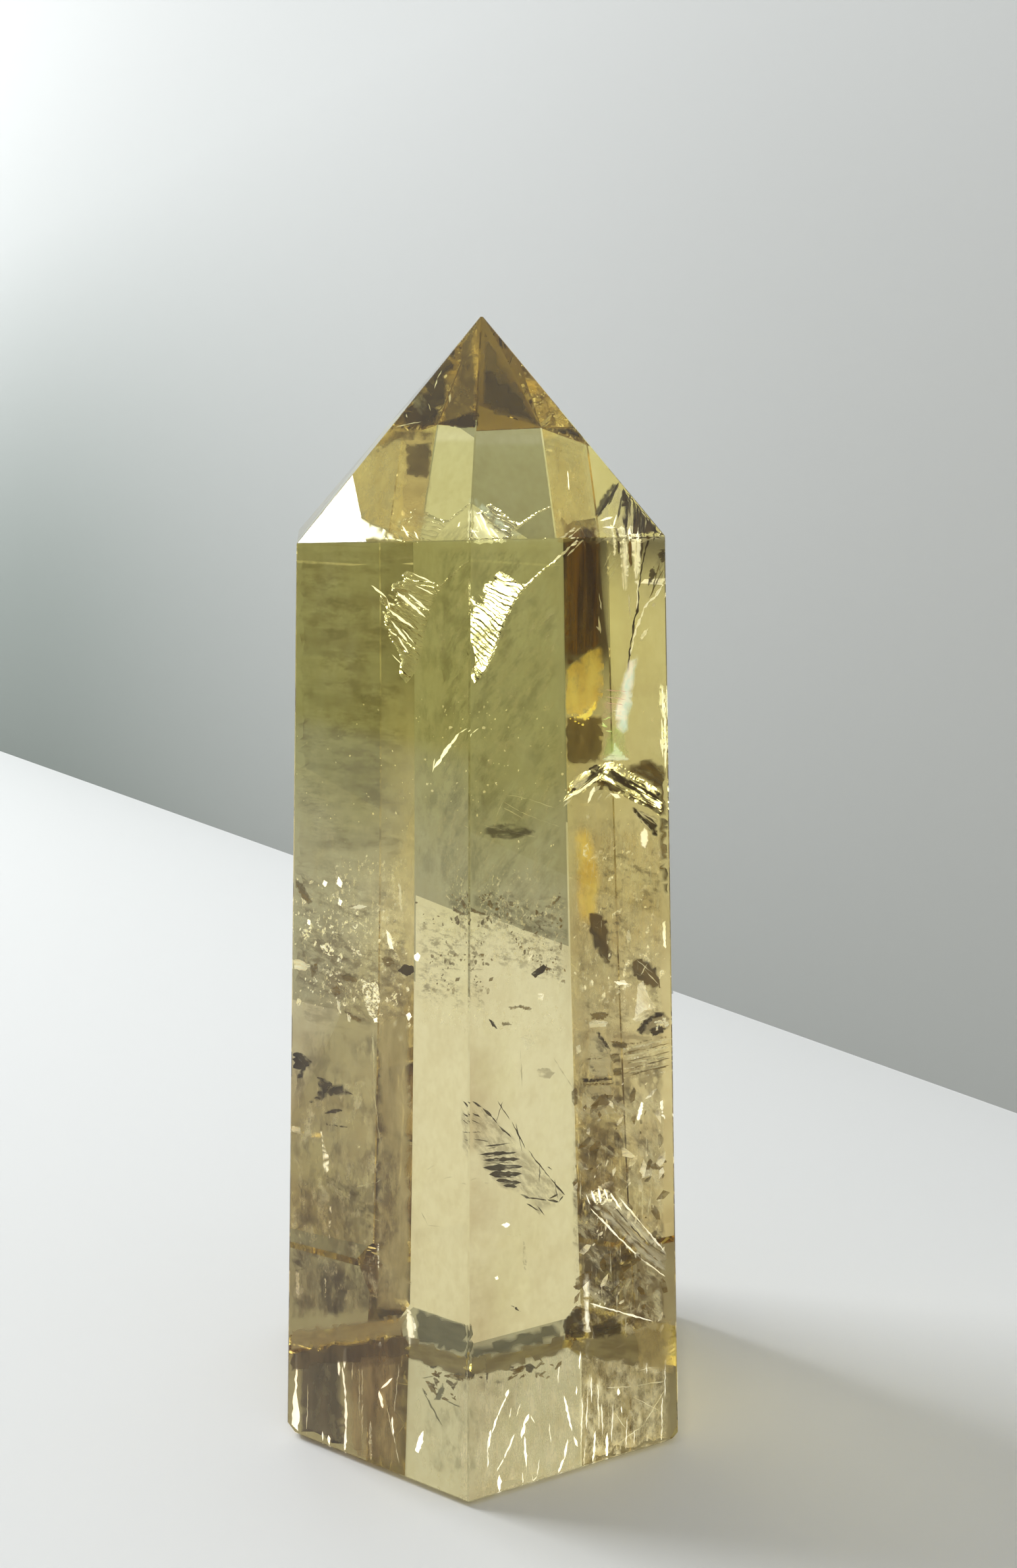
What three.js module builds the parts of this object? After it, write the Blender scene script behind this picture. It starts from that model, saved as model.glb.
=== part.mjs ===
// A quartz point, cut and polished into a six-sided tower that stands on its flat base.
//
// The crystal is one solid: the space inside a set of flat polished faces. Six tall side faces
// lean in a little towards the top, six facets rise from the shoulder to the tip, and every
// sharp edge has a narrow polished flat along it, as a lapped stone has.
//
// Millimetres, +Z up. The origin is at the centre of the base, on the surface it stands on.
// +X is to the right and -Y is to the front, where one upright edge points.

import * as THREE from "three";
import { ConvexGeometry } from "three/addons/geometries/ConvexGeometry.js";

// Overall height, and where the tip stands over the base.
const height = 120;
const tipOffset = { x: -0.3, y: 1 };

// The six side faces, in order around the stone. Bearing is the way a face looks, in degrees
// counterclockwise from +X; reach is its distance from the axis at the base; lean is how far
// it tips back from upright, in degrees. The bevel ground along its foot starts this high on
// the face, at the upright edge before it and at the one after it, and runs this far in under
// the base.
const sideFaces = [
  { bearing: -121.4, reach: 22.25, lean: 1.51, bevel: { before: 0.6, after: 0.6, inset: 0.6 } },
  { bearing: -62.3, reach: 22.07, lean: 1.37, bevel: { before: 0.6, after: 0.6, inset: 0.6 } },
  { bearing: -5.3, reach: 22.48, lean: 1.8, bevel: { before: 1.1, after: 1.6, inset: 1.5 } },
  { bearing: 58.45, reach: 24.12, lean: 1.68, bevel: { before: 2.2, after: 3.2, inset: 3.1 } },
  { bearing: 120.35, reach: 22.36, lean: 1.04, bevel: { before: 1.9, after: 1.5, inset: 2 } },
  { bearing: 188.2, reach: 22.96, lean: 1.77, bevel: { before: 1.5, after: 1.2, inset: 1.4 } },
];

// Height of the shoulder on the upright edge between each side face and the next one.
const shoulderHeights = [96.55, 97.05, 96.7, 99.05, 97.75, 96.25];

// Widths of the narrow flats along the edges.
const uprightFlat = 0.2;
const shoulderFlat = 0.12;
const tipEdgeFlat = 0.16;

// The tip ends in a small worn flat, this far below where the facets would meet.
const tipWear = 0.2;

// Corners of the base that were chipped and polished back: the upright edge by its number in
// shoulderHeights, and how deep the corner is cut.
const chippedCorners = [
  { edge: 3, depth: 1.8 },
  { edge: 5, depth: 0.7 },
  { edge: 1, depth: 0.4 },
];

// A plane with its normal facing out of the stone; the stone lies where normal . point < reach.
function outwardPlane(normal, reach) {
  const length = normal.length();
  return { normal: normal.clone().divideScalar(length), reach: reach / length };
}

// The plane through three points, facing away from the inside of the stone.
function planeThrough(a, b, c, inside) {
  const normal = b.clone().sub(a).cross(c.clone().sub(a));
  if (normal.dot(inside.clone().sub(a)) > 0) {
    normal.negate();
  }
  return outwardPlane(normal, normal.dot(a));
}

// The point where three planes meet, or null where they are close to parallel.
function meetingPoint(first, second, third) {
  const rows = new THREE.Matrix3().set(
    first.normal.x, first.normal.y, first.normal.z,
    second.normal.x, second.normal.y, second.normal.z,
    third.normal.x, third.normal.y, third.normal.z,
  );
  if (Math.abs(rows.determinant()) < 1e-9) {
    return null;
  }
  const reaches = new THREE.Vector3(first.reach, second.reach, third.reach);
  return reaches.applyMatrix3(rows.invert());
}

// The narrow flat that takes the sharp edge off where two faces meet.
function edgeFlat(first, second, width) {
  const halfTurn = first.normal.angleTo(second.normal) / 2;
  const sum = first.normal.clone().add(second.normal);
  const edge = outwardPlane(sum, first.reach + second.reach);
  edge.reach -= (width / 2) * Math.tan(halfTurn);
  return edge;
}

// The bevel along the foot of a side face, through its two heights on the upright edges and
// its inset under the base.
function footBevel(sides, index) {
  const count = sides.length;
  const side = sides[index];
  const { before, after, inset } = sideFaces[index].bevel;
  const start = meetingPoint(sides[(index + count - 1) % count], side, level(before));
  const end = meetingPoint(side, sides[(index + 1) % count], level(after));
  const inward = new THREE.Vector3(side.normal.x, side.normal.y, 0).normalize().negate();
  const under = start.clone().add(end).divideScalar(2).addScaledVector(inward, inset).setZ(0);
  return planeThrough(start, end, under, new THREE.Vector3(0, 0, height / 2));
}

function level(z) {
  return outwardPlane(new THREE.Vector3(0, 0, 1), z);
}

function sidePlane({ bearing, reach, lean }) {
  const turn = THREE.MathUtils.degToRad(bearing);
  const tilt = THREE.MathUtils.degToRad(lean);
  const normal = new THREE.Vector3(Math.cos(turn), Math.sin(turn), Math.tan(tilt));
  return outwardPlane(normal, reach);
}

// Every plane that bounds the stone: base, sides, tip facets, edge flats and corner chips.
function crystalPlanes() {
  const count = sideFaces.length;
  const next = (index) => (index + 1) % count;
  const previous = (index) => (index + count - 1) % count;

  const base = outwardPlane(new THREE.Vector3(0, 0, -1), 0);
  const sides = sideFaces.map(sidePlane);

  const sharpTip = new THREE.Vector3(tipOffset.x, tipOffset.y, height + tipWear);
  const middle = new THREE.Vector3(0, 0, height / 2);
  const corners = sides.map((side, index) => (
    meetingPoint(side, sides[next(index)], level(shoulderHeights[index]))
  ));
  const facets = corners.map((corner, index) => (
    planeThrough(corners[previous(index)], corner, sharpTip, middle)
  ));

  const planes = [base, level(height), ...sides, ...facets];
  for (let index = 0; index < count; index += 1) {
    planes.push(edgeFlat(sides[index], sides[next(index)], uprightFlat));
    planes.push(edgeFlat(facets[index], facets[next(index)], tipEdgeFlat));
    planes.push(edgeFlat(sides[index], facets[index], shoulderFlat));
    planes.push(footBevel(sides, index));
  }

  for (const { edge, depth } of chippedCorners) {
    const left = sides[edge];
    const right = sides[next(edge)];
    const corner = meetingPoint(left, right, base);
    const normal = left.normal.clone().add(right.normal).add(base.normal).normalize();
    planes.push(outwardPlane(normal, normal.dot(corner) - depth));
  }
  return planes;
}

// The corner points of the space inside all the planes.
function cornerPoints(planes) {
  const tolerance = 1e-7;
  const points = [];
  for (let i = 0; i < planes.length; i += 1) {
    for (let j = i + 1; j < planes.length; j += 1) {
      for (let k = j + 1; k < planes.length; k += 1) {
        const point = meetingPoint(planes[i], planes[j], planes[k]);
        const inside = point !== null
          && planes.every((plane) => plane.normal.dot(point) < plane.reach + tolerance);
        const isNew = inside && points.every((other) => other.distanceTo(point) > tolerance * 10);
        if (isNew) {
          points.push(point);
        }
      }
    }
  }
  return points;
}

const citrine = new THREE.MeshStandardMaterial({
  name: "citrine",
  color: 0xcdbb6a,
  roughness: 0.03,
  metalness: 0,
  transparent: true,
  opacity: 0.6,
});

const quartzPoint = new THREE.Mesh(new ConvexGeometry(cornerPoints(crystalPlanes())), citrine);
quartzPoint.name = "quartz_point";

const group = new THREE.Group();
group.add(quartzPoint);

export default group;
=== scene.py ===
import math
import random

import bpy
from mathutils import Matrix, Vector, bvhtree, geometry, kdtree, noise


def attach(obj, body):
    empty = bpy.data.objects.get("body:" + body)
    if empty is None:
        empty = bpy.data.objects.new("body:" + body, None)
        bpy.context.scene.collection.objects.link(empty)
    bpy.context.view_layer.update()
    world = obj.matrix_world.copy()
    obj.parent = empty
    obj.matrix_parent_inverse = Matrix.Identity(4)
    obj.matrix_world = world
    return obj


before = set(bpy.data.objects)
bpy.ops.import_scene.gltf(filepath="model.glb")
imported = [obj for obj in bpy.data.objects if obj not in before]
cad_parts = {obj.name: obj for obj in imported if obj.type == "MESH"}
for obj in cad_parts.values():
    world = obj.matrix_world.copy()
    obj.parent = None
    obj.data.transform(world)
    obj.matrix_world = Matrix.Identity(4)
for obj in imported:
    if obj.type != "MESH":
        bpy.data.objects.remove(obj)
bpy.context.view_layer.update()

scene = bpy.context.scene
mm = 0.001          # sizes are in mm unless a note says metres; Blender and its noises work in metres

camera = {
    "place": (5.188, -166.1, 96.296),
    "pitchDown": 8.986,                 # degrees, like the two turns below
    "turnLeft": 0.887,
    "roll": 0.05,
    "focal": 2310.8,                    # in pixels of a frame that is this high
    "frameHeight": 2380,
    "sensor": 36,
    "clipStart": 5,
}

def makeCamera(look):
    lens = bpy.data.cameras.new("camera")
    lens.sensor_fit = "AUTO"
    lens.sensor_width = look["sensor"]
    lens.lens = look["focal"] / look["frameHeight"] * look["sensor"]
    lens.clip_start = look["clipStart"] * mm
    body = bpy.data.objects.new("camera", lens)
    scene.collection.objects.link(body)
    body.matrix_world = (Matrix.Translation(Vector(look["place"]) * mm)
                         @ Matrix.Rotation(math.radians(look["turnLeft"]), 4, "Z")
                         @ Matrix.Rotation(math.radians(90 - look["pitchDown"]), 4, "X")
                         @ Matrix.Rotation(math.radians(look["roll"]), 4, "Z"))
    scene.camera = body

makeCamera(camera)
print("camera set")

# helpers for node trees: an input is given a value, or the socket that feeds it

def freshMaterial(name):
    material = bpy.data.materials.new(name)
    material.use_nodes = True
    material.node_tree.nodes.clear()
    return material, material.node_tree

def addNode(tree, kind, inputs=None, **settings):
    node = tree.nodes.new(kind)
    for key, value in settings.items():
        setattr(node, key, value)
    for name, value in (inputs or {}).items():
        socket = node.inputs[name]
        if isinstance(value, bpy.types.NodeSocket):
            tree.links.new(value, socket)
        elif socket.type == "RGBA":
            socket.default_value = (*value, 1)
        else:
            socket.default_value = value
    return node

def mathNode(tree, operation, first, second):
    return addNode(tree, "ShaderNodeMath", {0: first, 1: second}, operation=operation).outputs[0]

def times(tree, product, *factors):
    for factor in factors:
        product = mathNode(tree, "MULTIPLY", product, factor)
    return product

def mapRange(tree, value, low, high, kind="SMOOTHSTEP"):
    # 0 at low, 1 at high
    inputs = {"Value": value, "From Min": low, "From Max": high}
    return addNode(tree, "ShaderNodeMapRange", inputs, interpolation_type=kind).outputs["Result"]

def mixColor(tree, factor, first, second, blend="MIX"):
    inputs = {0: factor, 6: first, 7: second}
    return addNode(tree, "ShaderNodeMix", inputs, data_type="RGBA", blend_type=blend).outputs[2]

def objectPlace(tree):
    # where a spot lies on the object, in metres
    return addNode(tree, "ShaderNodeTexCoord").outputs["Object"]

def axes(tree, place):
    # its X, Y and Z
    return addNode(tree, "ShaderNodeSeparateXYZ", {0: place}).outputs

def noiseValue(tree, place, scale, detail, roughness=0.5):
    inputs = {"Vector": place, "Scale": scale, "Detail": detail, "Roughness": roughness}
    return addNode(tree, "ShaderNodeTexNoise", inputs).outputs["Fac"]

def toothNormal(tree, place, tooth):
    # a fine roughness that only tilts the surface
    height = noiseValue(tree, place, tooth["scale"], tooth["detail"])
    inputs = {"Height": height, "Strength": tooth["strength"], "Distance": tooth["distance"]}
    return addNode(tree, "ShaderNodeBump", inputs).outputs[0]

def nodeGroup(name, inputs, outputs):
    # an empty group with its sockets; inputs and outputs are names with the kind of socket
    group = bpy.data.node_groups.new(name, "ShaderNodeTree")
    for way, sockets in (("INPUT", inputs), ("OUTPUT", outputs)):
        for socketName, kind in sockets.items():
            group.interface.new_socket(socketName, in_out=way, socket_type="NodeSocket" + kind)
    return group, addNode(group, "NodeGroupInput").outputs

def makeSheet(name, corners, material):
    mesh = bpy.data.meshes.new(name)
    mesh.from_pydata([Vector(corner) * mm for corner in corners], [], [list(range(len(corners)))])
    mesh.materials.append(material)
    sheet = bpy.data.objects.new(name, mesh)
    scene.collection.objects.link(sheet)

floor = {
    "drop": 0.1,                        # it lies a hair under the base
    "across": (-2500, 2500),
    "back": (-1500, 2500),
    "color": (0.80, 0.80, 0.79),
    # painted shade: on the camera's side the floor turns dark, standing in for the unlit room past its edge
    "roomColor": (0.10, 0.065, 0.025),  # it turns to this on the camera's side ...
    "roomFade": (-0.31, -0.40),         # ... between these two, in metres
    "roughness": 0.7,
    "shine": 0.2,
    "tooth": {"scale": 900, "detail": 4, "strength": 0.05, "distance": 0.0002},
}

def floorFinish(look):
    material, tree = freshMaterial("floor_finish")
    place = objectPlace(tree)
    # painted shade of the unlit room past the floor's edge, on the camera's side
    nearEdge = mapRange(tree, axes(tree, place)["Y"], *look["roomFade"])
    shader = addNode(tree, "ShaderNodeBsdfPrincipled", {
        "Base Color": mixColor(tree, nearEdge, look["color"], look["roomColor"]),
        "Normal": toothNormal(tree, place, look["tooth"]),
        "Roughness": look["roughness"],
        "Specular IOR Level": look["shine"],
    })
    addNode(tree, "ShaderNodeOutputMaterial", {"Surface": shader.outputs[0]})
    return material

def makeFloor(look):
    left, right = look["across"]
    near, far = look["back"]
    down = -look["drop"]
    corners = [(left, near, down), (right, near, down), (right, far, down), (left, far, down)]
    makeSheet("floor", corners, floorFinish(look))

wall = {
    "start": (-243.85, 536.51),         # its foot runs through these two points ...
    "end": (88.42, 83.76),
    "past": (900, 1500),                # ... and this far past them
    "height": 900,
    # painted light and shade: lighter up high where the window lights it, darker low down at its far left
    "low": (0.44, 0.45, 0.43),          # its colour low down ...
    "high": (0.78, 0.79, 0.78),
    "rise": (0.0, 0.22),                # ... turns to the high one between these, in metres
    "shade": (0.58, 0.62, 0.60),        # how much darker its far left is, low down
    "shadeAcross": (0.02, -0.22),       # where that shade sets in and is full, in metres
    "shadeUp": (0.30, 0.06),
    "roughness": 0.8,
    "shine": 0.1,
}

def wallFinish(look):
    # solid from the front and see-through from behind, so that no view is shut out
    material, tree = freshMaterial("wall_finish")
    parts = axes(tree, objectPlace(tree))
    # painted light up high and painted shade low down at the far left
    rise = mapRange(tree, parts["Z"], *look["rise"], kind="LINEAR")
    color = mixColor(tree, rise, look["low"], look["high"])
    farLow = times(tree, mapRange(tree, parts["X"], *look["shadeAcross"]),
                   mapRange(tree, parts["Z"], *look["shadeUp"]))
    shaded = mixColor(tree, 1.0, color, look["shade"], "MULTIPLY")
    shader = addNode(tree, "ShaderNodeBsdfPrincipled", {
        "Base Color": mixColor(tree, farLow, color, shaded),
        "Roughness": look["roughness"],
        "Specular IOR Level": look["shine"],
    })
    clear = addNode(tree, "ShaderNodeBsdfTransparent")
    behindIt = addNode(tree, "ShaderNodeNewGeometry").outputs["Backfacing"]
    pick = addNode(tree, "ShaderNodeMixShader", {0: behindIt, 1: shader.outputs[0], 2: clear.outputs[0]})
    addNode(tree, "ShaderNodeOutputMaterial", {"Surface": pick.outputs[0]})
    return material

def makeWall(look):
    start, end = Vector((*look["start"], 0)), Vector((*look["end"], 0))
    along = (end - start).normalized()
    start -= along * look["past"][0]
    end += along * look["past"][1]
    top = Vector((0, 0, look["height"]))
    makeSheet("wall", [start, end, end + top, start + top], wallFinish(look))

makeFloor(floor)
makeWall(wall)
print("stage set")

window = {
    "place": (-1003, 468, 1012),
    "aim": (0, 0, 40),
    "size": (600, 570),
    "power": 16.6,
    "color": (0.95, 0.98, 1.0),
}

def windowLight(look):
    lamp = bpy.data.lights.new("window", "AREA")
    lamp.energy = look["power"]
    lamp.shape = "RECTANGLE"
    lamp.size, lamp.size_y = [size * mm for size in look["size"]]
    lamp.color = look["color"]
    holder = bpy.data.objects.new("window", lamp)
    scene.collection.objects.link(holder)
    place = Vector(look["place"])
    toward = Vector(look["aim"]) - place
    holder.location = place * mm
    holder.rotation_euler = (toward * mm).to_track_quat("-Z", "Y").to_euler()

room = {
    "low": (0.09, 0.08, 0.07),
    "high": (0.55, 0.56, 0.56),
    "up": (0.2, 0.75),                  # it turns bright between these two on the way up ...
    "back": (-0.3, 0.5),                # ... and on the way from the camera's side to behind the stone
    "strength": 1.0,
}

def roomLight(look):
    world = bpy.data.worlds.new("room")
    scene.world = world
    world.use_nodes = True
    tree = world.node_tree
    tree.nodes.clear()
    parts = axes(tree, addNode(tree, "ShaderNodeTexCoord").outputs["Generated"])
    bright = mathNode(tree, "MAXIMUM", mapRange(tree, parts["Z"], *look["up"]),
                      mapRange(tree, parts["Y"], *look["back"]))
    color = mixColor(tree, bright, look["low"], look["high"])
    background = addNode(tree, "ShaderNodeBackground", {"Color": color, "Strength": look["strength"]})
    addNode(tree, "ShaderNodeOutputWorld", {"Surface": background.outputs[0]})

windowLight(window)
roomLight(room)
print("light set")

crystal = {
    "absorbColor": (0.92, 0.84, 0.50),
    "absorbDensity": 20.0,
    "ior": 1.545,
    "roughness": 0.0,
    "honey": (0.72, 0.70, 0.30),        # colour of the upper body
    "pale": (1.00, 0.96, 0.75),         # colour of the lower body
    "tip": (0.95, 0.93, 0.57),
    "smoke": (0.60, 0.50, 0.42),        # brown-grey cloud low on the left
    "amber": (0.50, 0.44, 0.21),        # warmer zone up the right edge
    "point": (0.86, 0.83, 0.62),        # how much darker the last of the tip is
    "mottle": (0.86, 0.82, 0.74),       # how much darker the mottling is
    "honeyFoot": 0.052,                 # the honey colour fades in from here ...
    "honeyFull": 0.078,                 # ... to here, in metres
    # clouds: noise scale and detail, where the noise sets in and is full, and how strong it comes out
    "swirl": {"scale": 70, "detail": 3, "span": (0.30, 0.70)},
    "wisp": {"scale": 110, "detail": 5, "span": (0.50, 0.72), "squash": (1, 1, 0.6), "share": 0.45},
    "drift": {"scale": 90, "detail": 5, "span": (0.32, 0.62), "squash": (1, 1, 1.6), "share": 0.7},
    "bands": {"scale": 60, "detail": 3, "span": (0.52, 0.66), "squash": (0.25, 0.25, 3.2),
              "turn": 0.03, "offset": (0.2, 0, 0.013)},
    "patches": {"scale": 150, "detail": 7, "span": (0.44, 0.66), "squash": (1, 1, 0.8), "share": 0.5},
    "grain": {"scale": 1100, "detail": 5, "span": (0.42, 0.62), "squash": (1, 1, 0.6), "share": 0.4},
    "cloudRoughness": 0.6,
    "swirlHeight": 0.010,               # how far the swirl moves the foot of the honey colour
    "driftFloor": 0.3,                  # how strong the smoke is between its drifts
    # where each zone sets in and is full, in metres across or up
    "amberAcross": (0.007, 0.010),
    "amberUp": (0.045, 0.06),
    "amberShare": 0.85,
    "smokeAcross": (-0.004, -0.011),
    "smokeUp": (0.056, 0.034),
    "bandsUp": (0.066, 0.076),
    "bandsShare": 0.5,
    "tipUp": (0.0962, 0.0972),
    "pointUp": (0.1065, 0.1085),
}

zoneColors = ("Honey", "Pale", "Tip", "Smoke", "Amber", "Point", "Mottle")

def zoneGroup(look):
    # growth zoning: colour over the surface from where it lies on the stone
    inputs = {name: "Color" for name in zoneColors}
    inputs.update({"Honey Foot": "Float", "Honey Full": "Float"})
    group, given = nodeGroup("growthZones", inputs, {"Color": "Color"})
    place = objectPlace(group)
    parts = axes(group, place)

    def zone(axis, span):
        return mapRange(group, parts[axis], *look[span])

    def cloud(name):
        form = look[name]
        moved = addNode(group, "ShaderNodeMapping", {
            "Vector": place,
            "Scale": form.get("squash", (1, 1, 1)),
            "Rotation": (0, form.get("turn", 0), 0),
            "Location": form.get("offset", (0, 0, 0)),
        }).outputs[0]
        value = noiseValue(group, moved, form["scale"], form["detail"], look["cloudRoughness"])
        mask = mapRange(group, value, *form["span"])
        return times(group, mask, form["share"]) if "share" in form else mask

    def darken(color, mask, name):
        return mixColor(group, mask, color, mixColor(group, 1.0, color, given[name], "MULTIPLY"))

    swirl = times(group, mathNode(group, "SUBTRACT", cloud("swirl"), 0.5), look["swirlHeight"])
    height = mathNode(group, "ADD", parts["Z"], swirl)
    honey = mapRange(group, height, given["Honey Foot"], given["Honey Full"])
    color = mixColor(group, honey, given["Pale"], given["Honey"])
    color = mixColor(group, cloud("wisp"), color, given["Tip"])

    amber = times(group, zone("X", "amberAcross"), zone("Z", "amberUp"), look["amberShare"])
    color = mixColor(group, amber, color, given["Amber"])

    # smoke low on the left in drifts, and in thin level bands high on the left
    left = zone("X", "smokeAcross")
    drift = mathNode(group, "ADD", cloud("drift"), look["driftFloor"])
    color = darken(color, times(group, left, zone("Z", "smokeUp"), drift), "Smoke")
    bandMask = times(group, left, zone("Z", "bandsUp"), look["bandsShare"])
    color = darken(color, times(group, cloud("bands"), bandMask), "Smoke")

    # the tip is cleaner than the body, its point darker
    color = mixColor(group, zone("Z", "tipUp"), color, given["Tip"])
    color = darken(color, zone("Z", "pointUp"), "Point")

    # mottling all over: drifting patches and a fine grain
    color = darken(color, cloud("patches"), "Mottle")
    color = darken(color, cloud("grain"), "Mottle")
    addNode(group, "NodeGroupOutput", {"Color": color})
    return group

def citrineFinish(look):
    material, tree = freshMaterial("citrine")
    inputs = {name: look[name.lower()] for name in zoneColors}
    inputs.update({"Honey Foot": look["honeyFoot"], "Honey Full": look["honeyFull"]})
    zones = addNode(tree, "ShaderNodeGroup", inputs, node_tree=zoneGroup(look))
    shader = addNode(tree, "ShaderNodeBsdfPrincipled", {
        "Base Color": zones.outputs["Color"],
        "Roughness": look["roughness"],
        "Transmission Weight": 1.0,
        "IOR": look["ior"],
    })
    absorb = addNode(tree, "ShaderNodeVolumeAbsorption", {
        "Color": look["absorbColor"],
        "Density": look["absorbDensity"],
    })
    addNode(tree, "ShaderNodeOutputMaterial", {"Surface": shader.outputs[0], "Volume": absorb.outputs[0]})
    return material

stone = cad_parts["quartz_point"]
stone.data.materials.clear()
stone.data.materials.append(citrineFinish(crystal))
print("crystal set")

# inside the stone, each piece is placed where it shows from the front, at a depth behind that face

sight = {
    "drawIn": 0.998,                    # a line of sight that misses the stone is drawn in like this ...
    "drawHeight": 60,                   # ... and toward this height ...
    "drawUp": 0.0005,                   # ... by this share of the way, until it meets the stone
    "skin": 0.01,                       # the way to the back of the stone is measured from this deep
    "flakeRoom": (0.2, 1),              # how far a flake stays from the front and from the back
    "crackRoom": (0.5, 0.8),            # the same for a crack
}

def inner(name, mesh, material):
    # hang a mesh inside the stone
    mesh.materials.append(material)
    piece = bpy.data.objects.new(name, mesh)
    scene.collection.objects.link(piece)
    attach(piece, "root")

stoneTree = bvhtree.BVHTree.FromPolygons([vert.co / mm for vert in stone.data.vertices],
                                         [list(face.vertices) for face in stone.data.polygons])
lensPlace = Vector(camera["place"])

def sightLine(across, height):
    # where the line of sight to a spot beside the axis enters the stone, how it bends there, how far it runs
    enter = None
    while enter is None:
        toward = (Vector((across, 0, height)) - lensPlace).normalized()
        enter, normal = stoneTree.ray_cast(lensPlace, toward)[:2]
        across *= sight["drawIn"]
        height += (sight["drawHeight"] - height) * sight["drawUp"]
    slant = -toward.dot(normal)
    ratio = 1 / crystal["ior"]
    bent = toward * ratio + normal * (ratio * slant - math.sqrt(1 - ratio ** 2 * (1 - slant ** 2)))
    return enter, bent, stoneTree.ray_cast(enter + bent * sight["skin"], bent)[3]

def behind(across, height, depth):
    # the spot inside the stone that shows there from the front and lies this deep
    enter, bent, reach = sightLine(across, height)
    near, far = sight["flakeRoom"]
    return enter + bent * max(near, min(depth, reach - far))

def onSheet(across, height, middle, facing):
    # the spot of a flat sheet that shows there from the front
    enter, bent, reach = sightLine(across, height)
    near, far = sight["crackRoom"]
    depth = (middle - enter).dot(facing) / bent.dot(facing)
    return enter + bent * max(near, min(depth, reach - far))

def raggedRim(dice, flat, grain, ragged):
    # an outline broken into short steps that wander off it a little
    rim = []
    for here, there in zip(flat, flat[1:] + flat[:1]):
        count = max(1, round((there - here).length / grain))
        for step in range(count):
            spot = here.lerp(there, step / count)
            if step:
                spot += Vector((dice.uniform(-1, 1), dice.uniform(-1, 1))) * ragged
            rim.append(spot)
    return rim

def rimGauge(rim):
    # measures how far a spot lies from the rim
    tree = kdtree.KDTree(len(rim))
    for index, spot in enumerate(rim):
        tree.insert((*spot, 0), index)
    tree.balance()
    return lambda spot: tree.find((*spot, 0))[2]

def rimNet(rim, spots):
    # a net over the spots within the rim, and for each of its own spots whether it lies on the rim
    insideOnly, tolerance = 1, 1e-4
    result = geometry.delaunay_2d_cdt(rim + spots, [], [list(range(len(rim)))], insideOnly, tolerance)
    net, cells, origins = result[0], result[2], result[3]
    onRim = [not sources or min(sources) < len(rim) for sources in origins]
    return net, [list(cell) for cell in cells if len(cell) > 2], onRim

# fractures: healed cracks whose faces are rippled by lines that fan out from a pole

ripples = {
    "apart": 7.1,                       # how far apart cracks read their noise, for each step of "seed"
    "bend": (0.35, 0, 0.9),             # the lines bend slowly: noise per mm, its plane, share of "wander"
    "waver": (1.3, 3, 0.3),             # and waver quickly, the same way
    "ridge": (0.55, 1.3),               # how high the ridges are, in shares of "ridge", and how far it varies
    "ridgeNoise": (1.7, 0.25),          # noise per line and per mm along it
    "swellNoise": (0.16, 5),            # noise per mm of the whole sheet, and its plane
    "toothNoise": (3.3, 0.5),           # noise per line at the rim, and its plane
    "margin": 1,                        # the net of spots reaches this far past the rim ...
    "marginLines": 2,                   # ... and this many lines past it on each side
    "settling": 3,                      # rounds in which a spot settles on its bent line
    "closing": 0.3,                     # the crack is open this far in from its rim
}

def skinMesh(name, net, cells, onRim, place):
    # two skins over the same net that meet at the rim; both face into the gap between them
    verts, upper, lower = [], [], []
    for spot, atRim in zip(net, onRim):
        high, low = place(spot, atRim)
        upper.append(len(verts))
        verts.append(high * mm)
        if not atRim:
            verts.append(low * mm)
        lower.append(len(verts) - 1)
    skins = []
    for cell in cells:
        if all(onRim[index] for index in cell):
            continue
        first, second, third = [net[index] for index in cell[:3]]
        loop = cell if (second - first).cross(third - first) > 0 else cell[::-1]
        skins.append([upper[index] for index in reversed(loop)])
        skins.append([lower[index] for index in loop])
    mesh = bpy.data.meshes.new(name)
    mesh.from_pydata(verts, [], skins)
    mesh.validate()
    return mesh

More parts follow.
